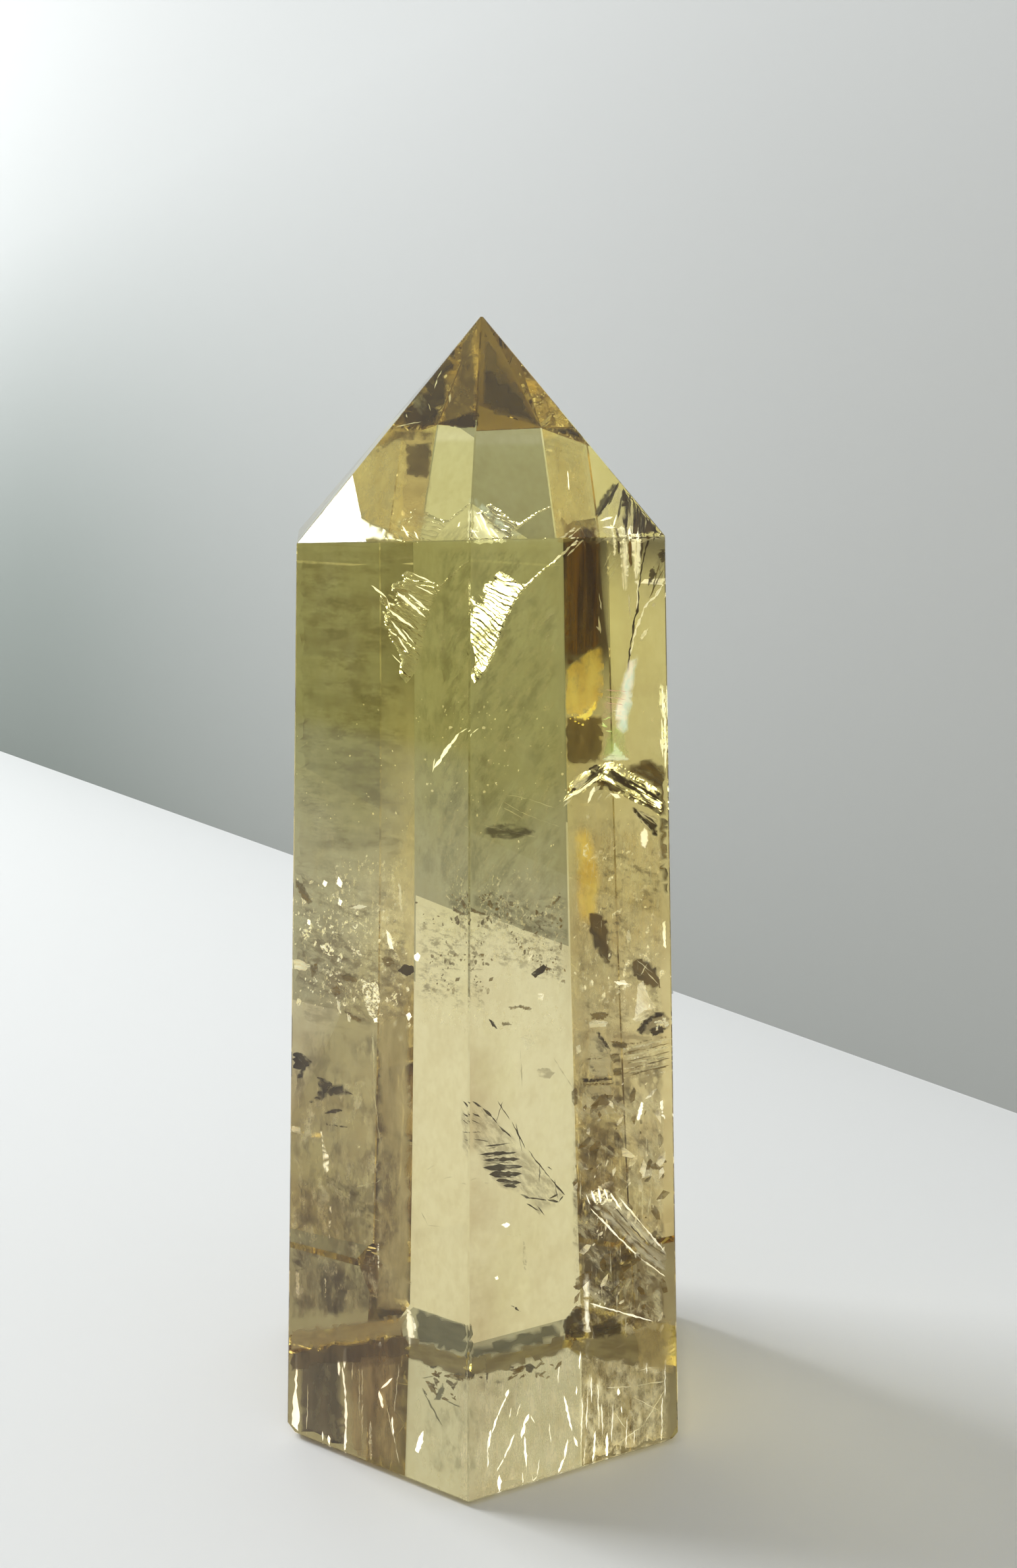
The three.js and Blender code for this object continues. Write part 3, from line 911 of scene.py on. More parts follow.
# flakes by finish: depth, width of the soft rim, way of the streaks in degrees, then the outline, across and
# up as it shows from the front. Seen from there, halfway up, the stone's sides lie near -22 and 21, its near
# edge lies near -1.6, and two back edges show through it near -8.4 and 9.5. The shoulder lies near 96, and
# the foot near -8 at the sides and -17 at the near corner
flakes = {
    "arcblue": [
        (1.6, 0.5, 145, (-1.2, 101.5), (-0.7, 101.4), (0.7, 99.7), (2.3, 98.3), (5.4, 96.9), (3.2, 96.9),
         (1.7, 97.6), (-1.2, 100.4)),
    ],
    "arcpale": [
        (1.6, 0.2, 145, (-1.4, 100.2), (0.9, 98.3), (2.3, 97.3), (2.5, 96.6), (-1.4, 96.5)),
    ],
    "bandgreen": [
        # the first two sheets are a painted reflection of the wall in the chamfer along the foot's back edge
        (1.6, 0.1, 160, (-8.1, 8.1), (-2, 5.8), (-2, 1.7), (-8.2, 3.8)),
        (1.6, 0.2, 20, (-1.7, 3.3), (0.6, 3.7), (9, 6.7), (8.8, 4.4), (4.8, 2.9), (1.7, 2.2), (-1.7, 1.2)),
        (2, 0.05, 125, (-7.7, -1.8), (-7.3, -2.3), (-6.7, -3.3), (-7.3, -2.9)),
        (2, 0.05, 85, (-5.1, -1.4), (-4.8, -2.2), (-5.4, -3.9), (-6.2, -3.6)),
    ],
    "bandtan": [
        # painted reflection: the tan band of the chamfer along the foot's back edge on the left, laid over
        # glints
        (1.2, 0.12, 10, (-23.3, 5.1), (-9.2, 7.2), (-8.9, 4.6), (-13.7, 3.7), (-18.4, 3.1), (-23.3, 2.3)),
    ],
    "bark": [
        (6, 0.3, 90, (8.6, 97), (12.6, 97), (12.9, 85.7), (12.1, 84.9), (9.1, 83.1), (8.8, 83.3)),
    ],
    "barkwedge": [
        (4, 0.05, 130, (15.9, 67.7), (17.4, 67.1), (19.2, 66.3), (19.1, 64.1), (18.6, 64.3), (16.9, 66.2)),
    ],
    "blade": [
        (5, 0.15, 95, (14.4, 97), (15.4, 97), (15.6, 94.5), (15.6, 91.7), (15.4, 90.1), (14.9, 91.6)),
        (5, 0.15, 90, (15.7, 97), (17, 97), (16.9, 94.5), (16.7, 91.7), (16.2, 92)),
        (5.4, 0.15, 90, (13.8, 97), (14.2, 97), (14.2, 95.2), (13.9, 94.4)),
        (4.5, 0, 50, (16.9, 86.2), (17.3, 86.9), (17.8, 87.2), (17.6, 86.6), (17.1, 86)),
        (5, 0, 105, (-11.1, 53.4), (-10.7, 53), (-10.3, 51.1), (-10.7, 51.2), (-11, 52.1)),
        (4.5, 0, 170, (14.5, 47.5), (15.7, 47.7), (16.2, 47.2), (15.1, 47.1)),
        (5, 0.03, 95, (-19, 33.2), (-18.6, 28.6), (-18, 26.2), (-18, 24.9), (-18.4, 24.4), (-18.8, 25.4),
         (-18.8, 27.6), (-19, 30.1)),
        (5, 0.03, 85, (-17.6, 24.1), (-17.8, 20.5), (-18.2, 15.4), (-18.3, 18.1)),
        (5, 0.03, 95, (-12.6, 16.5), (-12.4, 15.9), (-12.4, 12.5), (-12.6, 12.8)),
        (5, 0.03, 100, (-9.3, 8.2), (-8.7, 7.6), (-8.1, 5.7), (-8.3, 3.4), (-9.1, 2.9), (-9.3, 5.1)),
        (4.5, 0.05, 110, (19.9, 33.4), (20.4, 33.7), (20.3, 32.3), (20.7, 31.1), (20.1, 31.7)),
        (4.5, 0.05, 95, (11.3, 12.7), (11.9, 13.2), (12.3, 11), (12.1, 7.8), (12.4, 4.4), (12.3, 0.6),
         (11.7, 1.1), (11.7, 5.3), (11.4, 8.6)),
    ],
    "capsmoke": [
        (1.2, 0.12, 65, (-2.4, 118.6), (-3.6, 113.2), (-4.7, 108.7), (-6.7, 108.3), (-9.8, 108.7),
         (-3.8, 116.4)),
        (1.2, 0.1, 15, (-4.4, 108.7), (-3.2, 109.5), (-0.9, 110.2), (-1, 108.5), (-2.5, 108.4)),
        (1.2, 0.08, 170, (5.7, 108.6), (7.8, 108.4), (9.7, 108.4), (10.8, 107.2)),
    ],
    "captan": [
        (1.4, 0.1, 80, (-0.9, 119.1), (-0.8, 114.5), (-0.9, 110), (-4.4, 108.9), (-2.4, 117.2)),
        (1.5, 0.15, 125, (-0.1, 118.6), (2.4, 114.8), (3.8, 112.5), (5, 110.5), (6, 108.4), (2.9, 109.4),
         (-0.2, 110)),
        (1.4, 0.4, 20, (-9.6, 108.3), (-5.3, 108.1), (-5.4, 107.2), (-9.5, 107), (-11.5, 105.7),
         (-12.4, 105), (-11.3, 106.6)),
    ],
    "columnhaze": [
        (3, 0.7, 90, (-12.3, 43.5), (-8.4, 43.5), (-8.7, 7.6), (-12.9, 7.5)),
    ],
    # painted shade: dark sheets laid over glints and reflections near the shoulder and along the foot
    "cover": [
        (2, 0.05, 145, (18.6, 95.2), (19.7, 95.8), (19.7, 94.5), (19.1, 94.2)),
        (3.5, 0.05, 75, (17.7, 91.7), (17.8, 93.4), (18.3, 93.9), (18.6, 93), (18.1, 92.1)),
        (1.5, 0.12, 90, (-23.4, 2.6), (-13.7, 4), (-8.9, 4.7), (-8.8, 1.9), (-18.4, 0.5), (-23.4, -0.4)),
    ],
    "crumb": [
        (5, 0, 175, (-20.6, 53.3), (-19.4, 53.8), (-19.4, 53.2), (-20.1, 52.1), (-20.6, 52.5)),
        (5, 0, 160, (-18.6, 51.6), (-17.7, 51.9), (-17, 51), (-17.3, 50.3), (-18.2, 50.7)),
        (5, 0, 115, (-10.6, 52.3), (-10.1, 52.6), (-10.2, 51.4), (-10.6, 51.4)),
        (5, 0, 130, (-14, 47.7), (-13.1, 47.2), (-12.1, 47.5), (-11.9, 45.1), (-12.5, 42.9), (-13.2, 43.5),
         (-13.8, 45.4)),
        (5, 0, 115, (-12.7, 46.6), (-12.1, 46.8), (-12, 45.1), (-12.6, 44.8)),
        (5, 0, 135, (-10, 41.2), (-9.4, 41.5), (-9.3, 40.6), (-9.8, 40.3)),
        (2.5, 0, 60, (4.7, 50.1), (5.1, 51.3), (5.5, 51.6), (5.3, 50.4), (4.9, 49.6)),
        (2.5, 0, 130, (5.9, 46.1), (6.7, 46.3), (6.5, 45.3), (6.1, 45.2)),
        (4, 0.05, 0, (11.9, 22.1), (12.8, 22.9), (14, 22.9), (14.8, 22.1), (14.5, 20.8), (12.7, 20.8)),
    ],
    "darkglass": [
        (4.5, 0.08, 120, (11.5, 55.4), (12.4, 55.6), (13.7, 54.8), (14, 52.9), (14.3, 50.4), (13.8, 48.9),
         (12, 51.6), (11.6, 53.6)),
        (4.5, 0.08, 145, (16, 49.4), (17, 50.4), (18.3, 50.1), (19.4, 49.1), (19.9, 46.8), (19, 46.6),
         (17.6, 47.4), (16.6, 48.3)),
    ],
    "dustdark": [
        (5.5, 1.2, 160, (-21.4, 59.5), (-8.5, 55), (-8.6, 42), (-21.7, 46.6)),
        (5.5, 1.2, 160, (-8, 57), (-2.1, 55.5), (-2.1, 43.6), (-8.1, 45.1)),
        (5.5, 1.2, 160, (-1.3, 58.8), (9.3, 57.4), (9.3, 46.7), (-1.4, 49.7)),
        (5, 1.2, 160, (9.9, 64.1), (19.9, 64.2), (20.2, 42.2), (10.1, 41.3)),
    ],
    "dustlight": [
        (6, 1.2, 90, (-21.4, 60.3), (-8.4, 59.6), (-8.6, 43.5), (-21.7, 45)),
        (6, 1.2, 90, (-8, 56.5), (-2.2, 55.1), (-2.3, 42), (-8.1, 42)),
        (6, 1.2, 90, (-1.3, 59.6), (9.3, 56.6), (9.4, 39.8), (-1.4, 41.3)),
        (5.5, 1.2, 90, (10.1, 64.1), (19.9, 64.2), (20.2, 41.4), (10.3, 41.3)),
        (9, 1.2, 90, (-17.4, 62.5), (-8.4, 61.8), (-8.6, 42), (-17.7, 42.7)),
        (9, 1.2, 90, (-1.3, 61.8), (9.2, 59.6), (9.3, 48.3), (-1.4, 51.3)),
    ],
    "edgewhite": [
        (1.8, 0.08, 90, (19.2, 81.3), (19.7, 80.9), (19.9, 78.8), (19.9, 76.7), (20.1, 74.5), (20, 72),
         (19.5, 73), (19.2, 75.2), (19.4, 77.4), (19, 79.3)),
        (4.5, 0, 100, (19.9, 54.4), (20.2, 54.6), (20.3, 51.4), (20, 51.7)),
    ],
    "footbrown": [
        (2.5, 0.5, 90, (-22, 2.3), (-17, 3), (-16.8, -3.4), (-16.4, -10.6), (-19.4, -9.5), (-22.1, -8.1)),
    ],
    "footcream": [
        (2.4, 0.2, 85, (14.3, 102.2), (16, 101.6), (19, 98), (19.3, 96.8), (14.5, 96.6), (14.1, 98),
         (14.9, 100.1)),
        (4, 0.6, 90, (-1.5, 0.8), (10.9, 3.6), (11.5, -11.9), (-1.6, -16.5)),
        (3, 0.8, 85, (13.7, 103.2), (16, 102.2), (18.7, 98.9), (19.5, 96.5), (11.7, 96.5), (11.9, 99.1)),
    ],
    "footrust": [
        (3, 0.8, 90, (-17, 3.5), (-9.8, 4.6), (-10.2, -1.6), (-12.3, -5), (-15.4, -5), (-16.9, -2.5)),
        (1.4, 0.3, 90, (-16.5, 3.3), (-8.9, 4.6), (-9, 0.9), (-16.6, -0.2)),
    ],
    "foottan": [
        (2.4, 1.6, 90, (-16.7, 2.8), (-9.4, 3.7), (-9.7, -12.6), (-13.9, -12), (-16.8, -11)),
    ],
    "footwarm": [
        (3.2, 1.4, 90, (10.3, 2.3), (21.7, 3.7), (21.9, -9.4), (15, -11.7), (10.5, -12.9)),
    ],
    "gold": [
        (5, 0.1, 55, (12.1, 79.4), (12.3, 78.6), (11.8, 77.7), (11, 77), (10.5, 77.2), (9.7, 77.4),
         (11.1, 78), (11.6, 78.6)),
        (5, 0, 0, (9.3, 77.3), (9.4, 77.4), (9.5, 77.3), (9.4, 77.2)),
        (5, 0, 0, (9.8, 77), (9.9, 77.1), (10.1, 77), (9.9, 76.9)),
        (5, 0, 0, (10.2, 76.8), (10.3, 76.9), (10.5, 76.8), (10.3, 76.7)),
        (5, 0, 0, (10.6, 76.6), (10.8, 76.8), (10.9, 76.6), (10.8, 76.5)),
        (5, 0, 0, (11.2, 77.3), (11.4, 77.4), (11.5, 77.3), (11.4, 77.2)),
        (5, 0, 0, (9.5, 77.7), (9.6, 77.8), (9.7, 77.7), (9.6, 77.6)),
    ],
    "goldveil": [
        (6, 0.25, 90, (8.8, 82.6), (9.4, 83.4), (10.1, 83.9), (11.6, 85.2), (12.6, 85.4), (13, 85),
         (13.1, 81), (12.8, 79.4), (12.2, 78), (10.4, 77.5), (8.9, 77.8)),
        (7, 1.2, 90, (8.8, 77.8), (12.9, 78), (13.3, 75.2), (12.9, 72.6), (11.2, 72.3), (8.9, 72.3)),
        (4.6, 1, 90, (9.8, 65.2), (11.8, 65.6), (13.1, 59.7), (12.5, 53.6), (10.3, 54.4)),
    ],
    "greyblade": [
        (4.4, 0.08, 140, (12.2, 20.8), (13.8, 21.6), (15.4, 21.9), (17.1, 20), (19.3, 17), (21, 15),
         (21, 12.8), (19.3, 13.7), (17.4, 15.3), (13.3, 19.5)),
    ],
    "growth": [
        (6, 2, 175, (-20.3, 95.9), (-9.6, 95.9), (-10, 61.8), (-21.3, 61.8)),
    ],
    "haze": [
        (4, 0.6, 65, (16.9, 95.2), (19.3, 95.8), (19.5, 92.6), (17.8, 89.9), (17, 91)),
    ],
    "hazebrown": [
        (5.8, 0.4, 140, (10.4, 30.8), (15.3, 31.2), (15.7, 26.4), (15, 22), (10.9, 22)),
        (7, 0.4, 125, (15.7, 12.7), (19, 13.1), (20.8, 11.1), (20.9, 5.4), (17.2, 4.7), (15.7, 7.8)),
        (7.8, 0.4, 100, (10.7, 23.2), (11.6, 24), (11.8, 16.7), (10.8, 15.9)),
        (8, 0.4, 140, (16.2, 8.2), (19, 7.8), (20.3, 4.5), (16.4, 3.7)),
        (4.6, 0.2, 35, (17.4, 41.5), (18.1, 42.9), (19.6, 44.1), (20.8, 43.9), (21, 43.2), (21, 42.3),
         (19.9, 41.6), (18.4, 41.2)),
    ],
    "hazedark": [
        (8, 0.8, 90, (-20.1, 13.5), (-18.2, 14.2), (-16.7, 13.4), (-15.9, 11.2), (-16.2, 7.5),
         (-17.4, 6.3), (-18.9, 7), (-19.8, 9.3)),
        (6.2, 0.4, 125, (10.6, 15.9), (14, 16.8), (15.7, 13.5), (15.6, 8.1), (12.4, 8.7), (11.3, 11)),
        (6.5, 0.4, 110, (11.7, 7.9), (15.8, 7.3), (15.6, 4.5), (13.7, 1.6), (12.6, 2), (11.8, 5.3)),
        (6.8, 0.4, 45, (9.1, 6.4), (10.1, 8.1), (11.3, 8.7), (11.5, 4.4), (9.5, 4.9)),
        (3, 0.3, 0, (-0.5, 64.7), (0.6, 65.5), (2.5, 65.7), (4.4, 65.4), (5.8, 64.7), (4.7, 64),
         (2.6, 63.7), (0.6, 63.9)),
    ],
    "hazegreen": [
        (7, 0.35, 160, (-1.5, 57.6), (1.7, 56.4), (4.7, 54.9), (9.3, 53.8), (9.3, 51.9), (5.6, 52.8),
         (-1.5, 55.8)),
    ],
    "hazewarm": [
        (2.5, 0.08, 170, (5.7, 37.2), (7, 37.4), (8, 36.8), (7.4, 36), (6.1, 36.2)),
        (5.5, 0.4, 5, (14.4, 41.7), (20.5, 42.2), (20.6, 35.9), (14.8, 35.1)),
        (2.9, 0.4, 130, (-1.6, 33.9), (0.6, 31.9), (4.8, 27.3), (6.9, 25.2), (9.2, 22), (8.6, 20.8),
         (6.3, 19.5), (4, 21.9), (1.7, 22.8), (-0.5, 25.5), (-1.6, 27.9)),
        (2.5, 0.03, 105, (4.3, 16.4), (4.7, 16.2), (4.9, 14.1), (4.7, 12.1), (4.3, 13.7)),
        (8.5, 0.8, 90, (-15.2, 27.4), (-12.6, 27.8), (-10.4, 25.8), (-9.5, 20.6), (-12.7, 20.6),
         (-15, 23.8)),
    ],
    "ink": [
        (2.5, 0.03, 145, (2.8, 8.5), (3.6, 8.2), (4.2, 7.5), (3.5, 7.8)),
    ],
    "limeveil": [
        (5.5, 0.6, 85, (13.9, 76.8), (15.5, 76.9), (15.7, 74.5), (16.2, 73), (12.8, 72.9), (13.2, 75.2)),
    ],
    "milk": [
        (4, 0, 25, (18.1, 89.6), (18.3, 90), (18.5, 89.8), (18.3, 89.5)),
        (4.5, 0.3, 35, (9.5, 69.6), (9.7, 70.8), (10.8, 71.4), (11.6, 71.1), (11.2, 70.1), (10.2, 69.3)),
        (4, 0, 170, (11.2, 66.5), (11.4, 66.7), (11.6, 66.4), (11.4, 66)),
        (5, 0, 165, (-22.2, 49.8), (-20.9, 49.9), (-19.7, 49.2), (-20.3, 48.6), (-22.1, 48.9)),
        (5, 0, 5, (-15.2, 55.9), (-14.1, 56.3), (-13.2, 56.1), (-14.1, 55.7)),
        (5, 0, 100, (-9.7, 59), (-9.4, 58.1), (-9.3, 55.3), (-9.6, 56.4)),
        (5, 0, 100, (-16.8, 45.2), (-16.4, 44.9), (-16.5, 43.8), (-16.8, 44.3)),
        (5, 0, 110, (-15.7, 43.7), (-15.2, 43.5), (-15.3, 42.6), (-15.6, 42.8)),
        (4.5, 0, 0, (11.7, 42.8), (12.6, 43), (13.9, 42.8), (13.7, 42.3), (11.9, 42.1)),
        (4.5, 0, 135, (10.3, 39.9), (10.7, 40.1), (10.9, 39.3), (10.4, 39)),
        (4.5, 0, 150, (15.8, 52.9), (16.1, 53.6), (16.4, 52.5), (16, 51.8)),
        (4.4, 0.04, 10, (19, 42.9), (19.9, 43.1), (20.5, 42.5), (19.5, 42.2)),
        (4.4, 0.04, 165, (19.9, 43.5), (20.5, 43.4), (20.5, 42.8), (20.1, 42.9)),
        (4, 0.05, 10, (15.6, 39.8), (17.1, 39.9), (18.9, 40.3), (20.6, 40.6), (20.6, 40.4), (18.9, 40.1),
         (17.1, 39.7), (15.7, 39.5)),
        (4, 0.05, 10, (15.7, 38.6), (17.1, 38.8), (18.9, 39.2), (20.6, 39.4), (20.6, 39.2), (18.9, 38.9),
         (17.2, 38.5), (15.7, 38.4)),
        (4, 0.05, 10, (15.7, 37.4), (17.1, 37.6), (19, 38), (20.6, 38.2), (20.6, 38), (19, 37.7),
         (17.2, 37.3), (15.7, 37.2)),
        (4, 0.05, 10, (15.7, 36.3), (17.1, 36.4), (19, 36.8), (20.6, 37.1), (20.6, 36.8), (19, 36.6),
         (17.2, 36.1), (15.7, 36)),
        (2.5, 0.03, 0, (2.4, 17.1), (4.3, 17.2), (4.3, 17.1), (2.5, 17)),
        (5, 0.03, 95, (-22.2, 12.5), (-21.7, 12.2), (-21.8, 9.3), (-22.2, 9.4)),
        (5, 0.03, 155, (-22.6, 30.3), (-21.9, 30.2), (-21.6, 29.8), (-22, 29.4), (-22.6, 29.5)),
        (5, 0.03, 90, (-18.8, 11.6), (-18.6, 11.4), (-18.7, 9), (-18.8, 9.1)),
        (5, 0.03, 145, (-14.8, 28.1), (-14.4, 27.8), (-14.6, 27.3)),
        (4, 0, 20, (20.2, 42.8), (20.7, 42.9), (20.8, 42.5), (20.4, 42.2)),
        (4, 0, 20, (19.3, 42.2), (19.6, 42.3), (19.6, 41.9), (19.3, 41.8)),
    ],
    "milkveil": [
        (5.6, 0.8, 95, (13.7, 97), (17.3, 97), (17, 93.1), (16, 90.6), (14.6, 92.4)),
    ],
    "mint": [
        (5, 0.15, 0, (14.3, 74.8), (14.8, 74), (15.5, 73.2), (16.4, 72.8), (15.4, 72.6), (13.7, 72.6),
         (12.6, 72.6), (13.5, 73.3), (14.1, 73.9)),
    ],
    "mottle": [
        (8, 1.2, 165, (-21.5, 62.5), (-8.2, 61.8), (-8.4, 40.4), (-21.9, 41.9)),
        (8, 1.2, 175, (-20.3, 95.9), (-8.2, 95.9), (-8.4, 61.1), (-21.4, 61)),
        (6, 0.8, 90, (9.6, 66.4), (19.8, 66.4), (20.3, 40.6), (9.8, 40.5)),
    ],
    "mottlebrown": [
        (9, 1, 90, (-22.5, 22.9), (-8.9, 23), (-9.2, 7.4), (-23, 6.1)),
        (6.5, 0.6, 90, (9.8, 39), (20.4, 39.1), (21, 3.7), (10.4, 4.4)),
        (8, 0.8, 90, (9.7, 42.1), (14.4, 42.1), (15.5, 15.1), (10, 15.1)),
        (7, 1, 150, (-21.6, 54.2), (-8.6, 51.2), (-8.4, 42), (-14.7, 42), (-21.8, 47.3)),
        (2.8, 0.7, 90, (-12.5, 31), (-9.4, 29.4), (-10.1, 10), (-12.7, 8.3)),
    ],
    "mottlecream": [
        (11, 1, 65, (-1.4, 95.9), (8.3, 95.9), (8.8, 52.8), (-1.5, 56.6)),
        (10, 1, 90, (-21.2, 66.2), (-8.2, 65.5), (-8.4, 42), (-21.9, 43.5)),
        (7, 0.6, 90, (9.5, 66.4), (19.8, 66.4), (20.8, 7), (10.1, 6.9)),
        (4, 0.6, 90, (-8.5, 0.9), (-2.3, 0.1), (-2.3, -16), (-8.8, -13.5)),
    ],
    "mottlegreen": [
        (7, 1, 90, (-7.6, 95.9), (-2, 95.9), (-2.1, 58.1), (-8, 58.8)),
        (9, 1, 55, (-1.4, 95.9), (8.3, 95.9), (8.8, 52.8), (-1.5, 56.6)),
        (3.4, 0.6, 90, (-7.6, -3.3), (-2.6, -4.1), (-2.6, -13.4), (-6.9, -12.6)),
    ],
    "mottlegrey": [
        (7, 1, 90, (-21.9, 41.9), (-8.6, 41.2), (-9, 7.6), (-23, 6.6)),
        (4.4, 1.2, 90, (-1.5, -0.7), (4.8, -0.1), (4.1, -6.5), (-1.5, -10)),
    ],
    "olive": [
        # painted reflection of the wall in the chamfer along the foot's back edge
        (1, 0.15, 165, (-9.1, 4.4), (-6, 3.4), (-2, 2), (-2, -1.2), (-9.1, 1.4)),
        (1, 0.15, 15, (-1.9, 1.8), (2.5, 2.9), (9.6, 4.9), (9.6, 2.4), (-1.9, -1.2)),
        (0.8, 0.1, 15, (-1.8, 1.8), (0, 2.3), (0.2, 0.3), (-1.7, -0.7)),
        (1.6, 0.4, 175, (9.8, 4.1), (21.3, 6), (21.5, 0.4), (9.8, 1.9)),
    ],
    "paleblock": [
        (5, 0.1, 0, (11.7, 42), (12.6, 42.1), (14.3, 39.8), (14.5, 36.4), (11.7, 36.2)),
        (5, 0.15, 0, (11.1, 35.2), (14.5, 35.3), (15, 32), (12.3, 31.3), (10.8, 31.9)),
    ],
    "panelbrown": [
        (6.2, 0.3, 90, (8.8, 77.5), (12.9, 77.8), (13.1, 75.2), (12.9, 72.4), (9.1, 72.1), (8.8, 75.2)),
    ],
    "rainbow": [
        (5, 0.6, 80, (16.4, 84.7), (16.9, 84), (16.1, 78.1), (15.9, 75.9), (15.2, 75.5), (14.3, 76.2),
         (14.2, 78.5), (14.6, 80.3), (15.1, 82.4), (15.7, 83.9)),
    ],
    "rainbowpale": [
        (5.4, 0.5, 65, (15.2, 81), (14.5, 78.5), (14.2, 76.6), (13, 75.8), (12.7, 76.9), (12.8, 79),
         (13.6, 80.3)),
    ],
    "rainfine": [
        (4, 0.4, 90, (9.9, 31.1), (20.4, 31.2), (21.1, -12.3), (11.1, -12.4)),
        (4.5, 0.4, 90, (9.6, 66.4), (19.8, 66.4), (20.1, 48.3), (9.8, 48.3)),
    ],
    "shard": [
        (4.5, 0, 130, (17.2, 47.2), (17.8, 47.7), (18.4, 46), (19.3, 44.5), (18, 44.2), (16.8, 43.2),
         (17.1, 45.2)),
        (4.5, 0, 30, (16.6, 43.2), (17.8, 44), (18.9, 44.5), (18.4, 43.2), (17.1, 42.8)),
    ],
    "shardsmoke": [
        (6, 0.05, 30, (-20.7, 32.8), (-19.4, 33.9), (-19, 34.7), (-19.3, 36.2), (-18, 35.8), (-17.4, 35.3),
         (-16.3, 35.5), (-15.7, 34.5), (-14.9, 33.9), (-17.9, 33.8), (-18.8, 33.2)),
        (6, 0.05, 135, (-22.1, 38.8), (-21.4, 39.1), (-20.3, 38.5), (-19.7, 37.9), (-20.4, 37.1),
         (-20.9, 35.8), (-21.6, 36), (-21.2, 36.9), (-22.2, 37.1)),
        (6, 0.05, 20, (-18.7, 31.7), (-17.9, 32.2), (-16.8, 32.4), (-16.2, 32.1), (-17.1, 31.7)),
        (6, 0.05, 170, (-18.4, 30.5), (-15.6, 30.2), (-15.6, 30), (-17, 30.1), (-18.3, 30.3)),
    ],
    "smoke": [
        (6.4, 0.1, 35, (8.4, 94.9), (9.5, 96.2), (10.5, 97), (11.1, 96.9), (9.7, 95.5), (8.6, 94.5)),
        (4, 0.05, 140, (11.4, 71.8), (12.3, 72.3), (12.8, 72), (12.3, 71.1), (11.7, 70.8)),
        (5, 0, 20, (-9.9, 48.6), (-9.2, 49.4), (-8.1, 49.2), (-8, 48.5), (-8.8, 48)),
        (2.5, 0, 25, (5.2, 48.4), (6.6, 49.5), (7, 49.2), (6.6, 48.6), (5.6, 47.9)),
        (2.5, 0, 130, (0.4, 43.1), (1, 42.7), (1.4, 41.9), (0.8, 42.2)),
        (4.4, 0.04, 5, (11, 36.1), (14.5, 36.3), (14.7, 35.9), (11.2, 35.6)),
        (4.4, 0.04, 0, (12.5, 41.6), (12.9, 41.7), (13.9, 40.3), (14.3, 39.3), (13.9, 39.6), (12.8, 40.9)),
        (4.4, 0.04, 55, (17, 41.7), (18, 43.1), (19, 44), (20.4, 44.2), (20.5, 43.6), (19.3, 43.2),
         (18.4, 42.5), (17.9, 41.2)),
        (4.4, 0.04, 20, (18.5, 42), (19.6, 42.5), (20.5, 42.2), (20.1, 41.4), (18.9, 41.1)),
    ],
    "stripes": [
        (5, 0.1, 150, (13.4, 72), (15.2, 72), (16.1, 71.2), (18.9, 69.6), (19.6, 68.9), (19.7, 66.5),
         (18.1, 67.4), (16.3, 68.1), (13.7, 69.3), (12.5, 70.2)),
        (5, 0.1, 40, (8.8, 68.3), (9.9, 70.1), (11.3, 71.5), (13, 72.4), (13.7, 72.1), (12.8, 70.5),
         (11.2, 69.3), (9.9, 68.9)),
        (1.8, 0.1, 85, (14.4, 102.3), (16.1, 101.8), (19, 98), (19.2, 97.2), (15.2, 96.5), (14.8, 98.7)),
    ],
    "striptan": [
        (5, 1.2, 90, (9.6, 65.9), (20, 65.2), (20.2, 50.6), (9.7, 50.6)),
    ],
    "tipbrown": [
        (1.2, 0.12, 150, (-0.2, 114.8), (1.2, 114.1), (2.9, 112.9), (4.3, 111), (5.7, 108.7), (3.8, 109.4),
         (-0.2, 110.6)),
        (1.2, 0.3, 175, (-8.5, 106.8), (-5.5, 107.1), (-5.7, 103.9), (-6.2, 103), (-8.4, 103.4)),
    ],
    "tipgold": [
        (2, 0.6, 100, (6.1, 108), (10.7, 107.2), (11.3, 105), (11.6, 100.1), (12.1, 98), (7.7, 96.6)),
        # the next sheet is painted shade: floor in the stone's half shadow, seen gold through the left tip
        # facet
        (1.8, 0.3, 80, (-14.9, 103.3), (-10.9, 108.3), (-8.7, 108.5), (-5.5, 108.3), (-6.2, 101.2),
         (-6.8, 96.7), (-9.6, 96.7), (-9.8, 97.3), (-12.3, 98.4), (-14.3, 99.7), (-15, 101.2)),
    ],
    "tiptan": [
        (1.5, 0.4, 175, (-8.7, 108.3), (-5.3, 108.4), (-5.6, 102.9), (-6.1, 98), (-9, 98), (-8.8, 103.6)),
        # the next sheet is painted shade laid over the gold reflection at the foot's right edge
        (1, 0.2, 95, (17.1, 6.6), (21.9, 6.9), (22.1, -0.1), (18, 0.5)),
    ],
    "umber": [
        (9, 0.5, 90, (8.6, 97), (12.5, 97), (12.8, 86), (11.8, 84.9), (10.2, 83.9), (9.1, 83), (8.8, 83.3)),
        (4, 0.1, 150, (14.8, 71.8), (16.8, 72.6), (18.6, 73), (19.4, 72.4), (20.1, 71.4), (20.2, 66.4),
         (19.4, 66.4), (19.5, 69), (18.1, 70.1), (16.3, 71.1)),
        (4.4, 0.5, 150, (15.5, 71.9), (18.4, 72.9), (19.9, 71.1), (19.6, 68.9), (18.1, 70.2)),
        (4, 0.05, 120, (12.3, 70.5), (13.2, 71.1), (13.8, 70.4), (13, 69.3), (12.4, 69.6)),
        (2, 0.05, 100, (19.2, 66.4), (20.3, 66.1), (20.5, 57), (19.6, 58.2), (19.3, 62.7)),
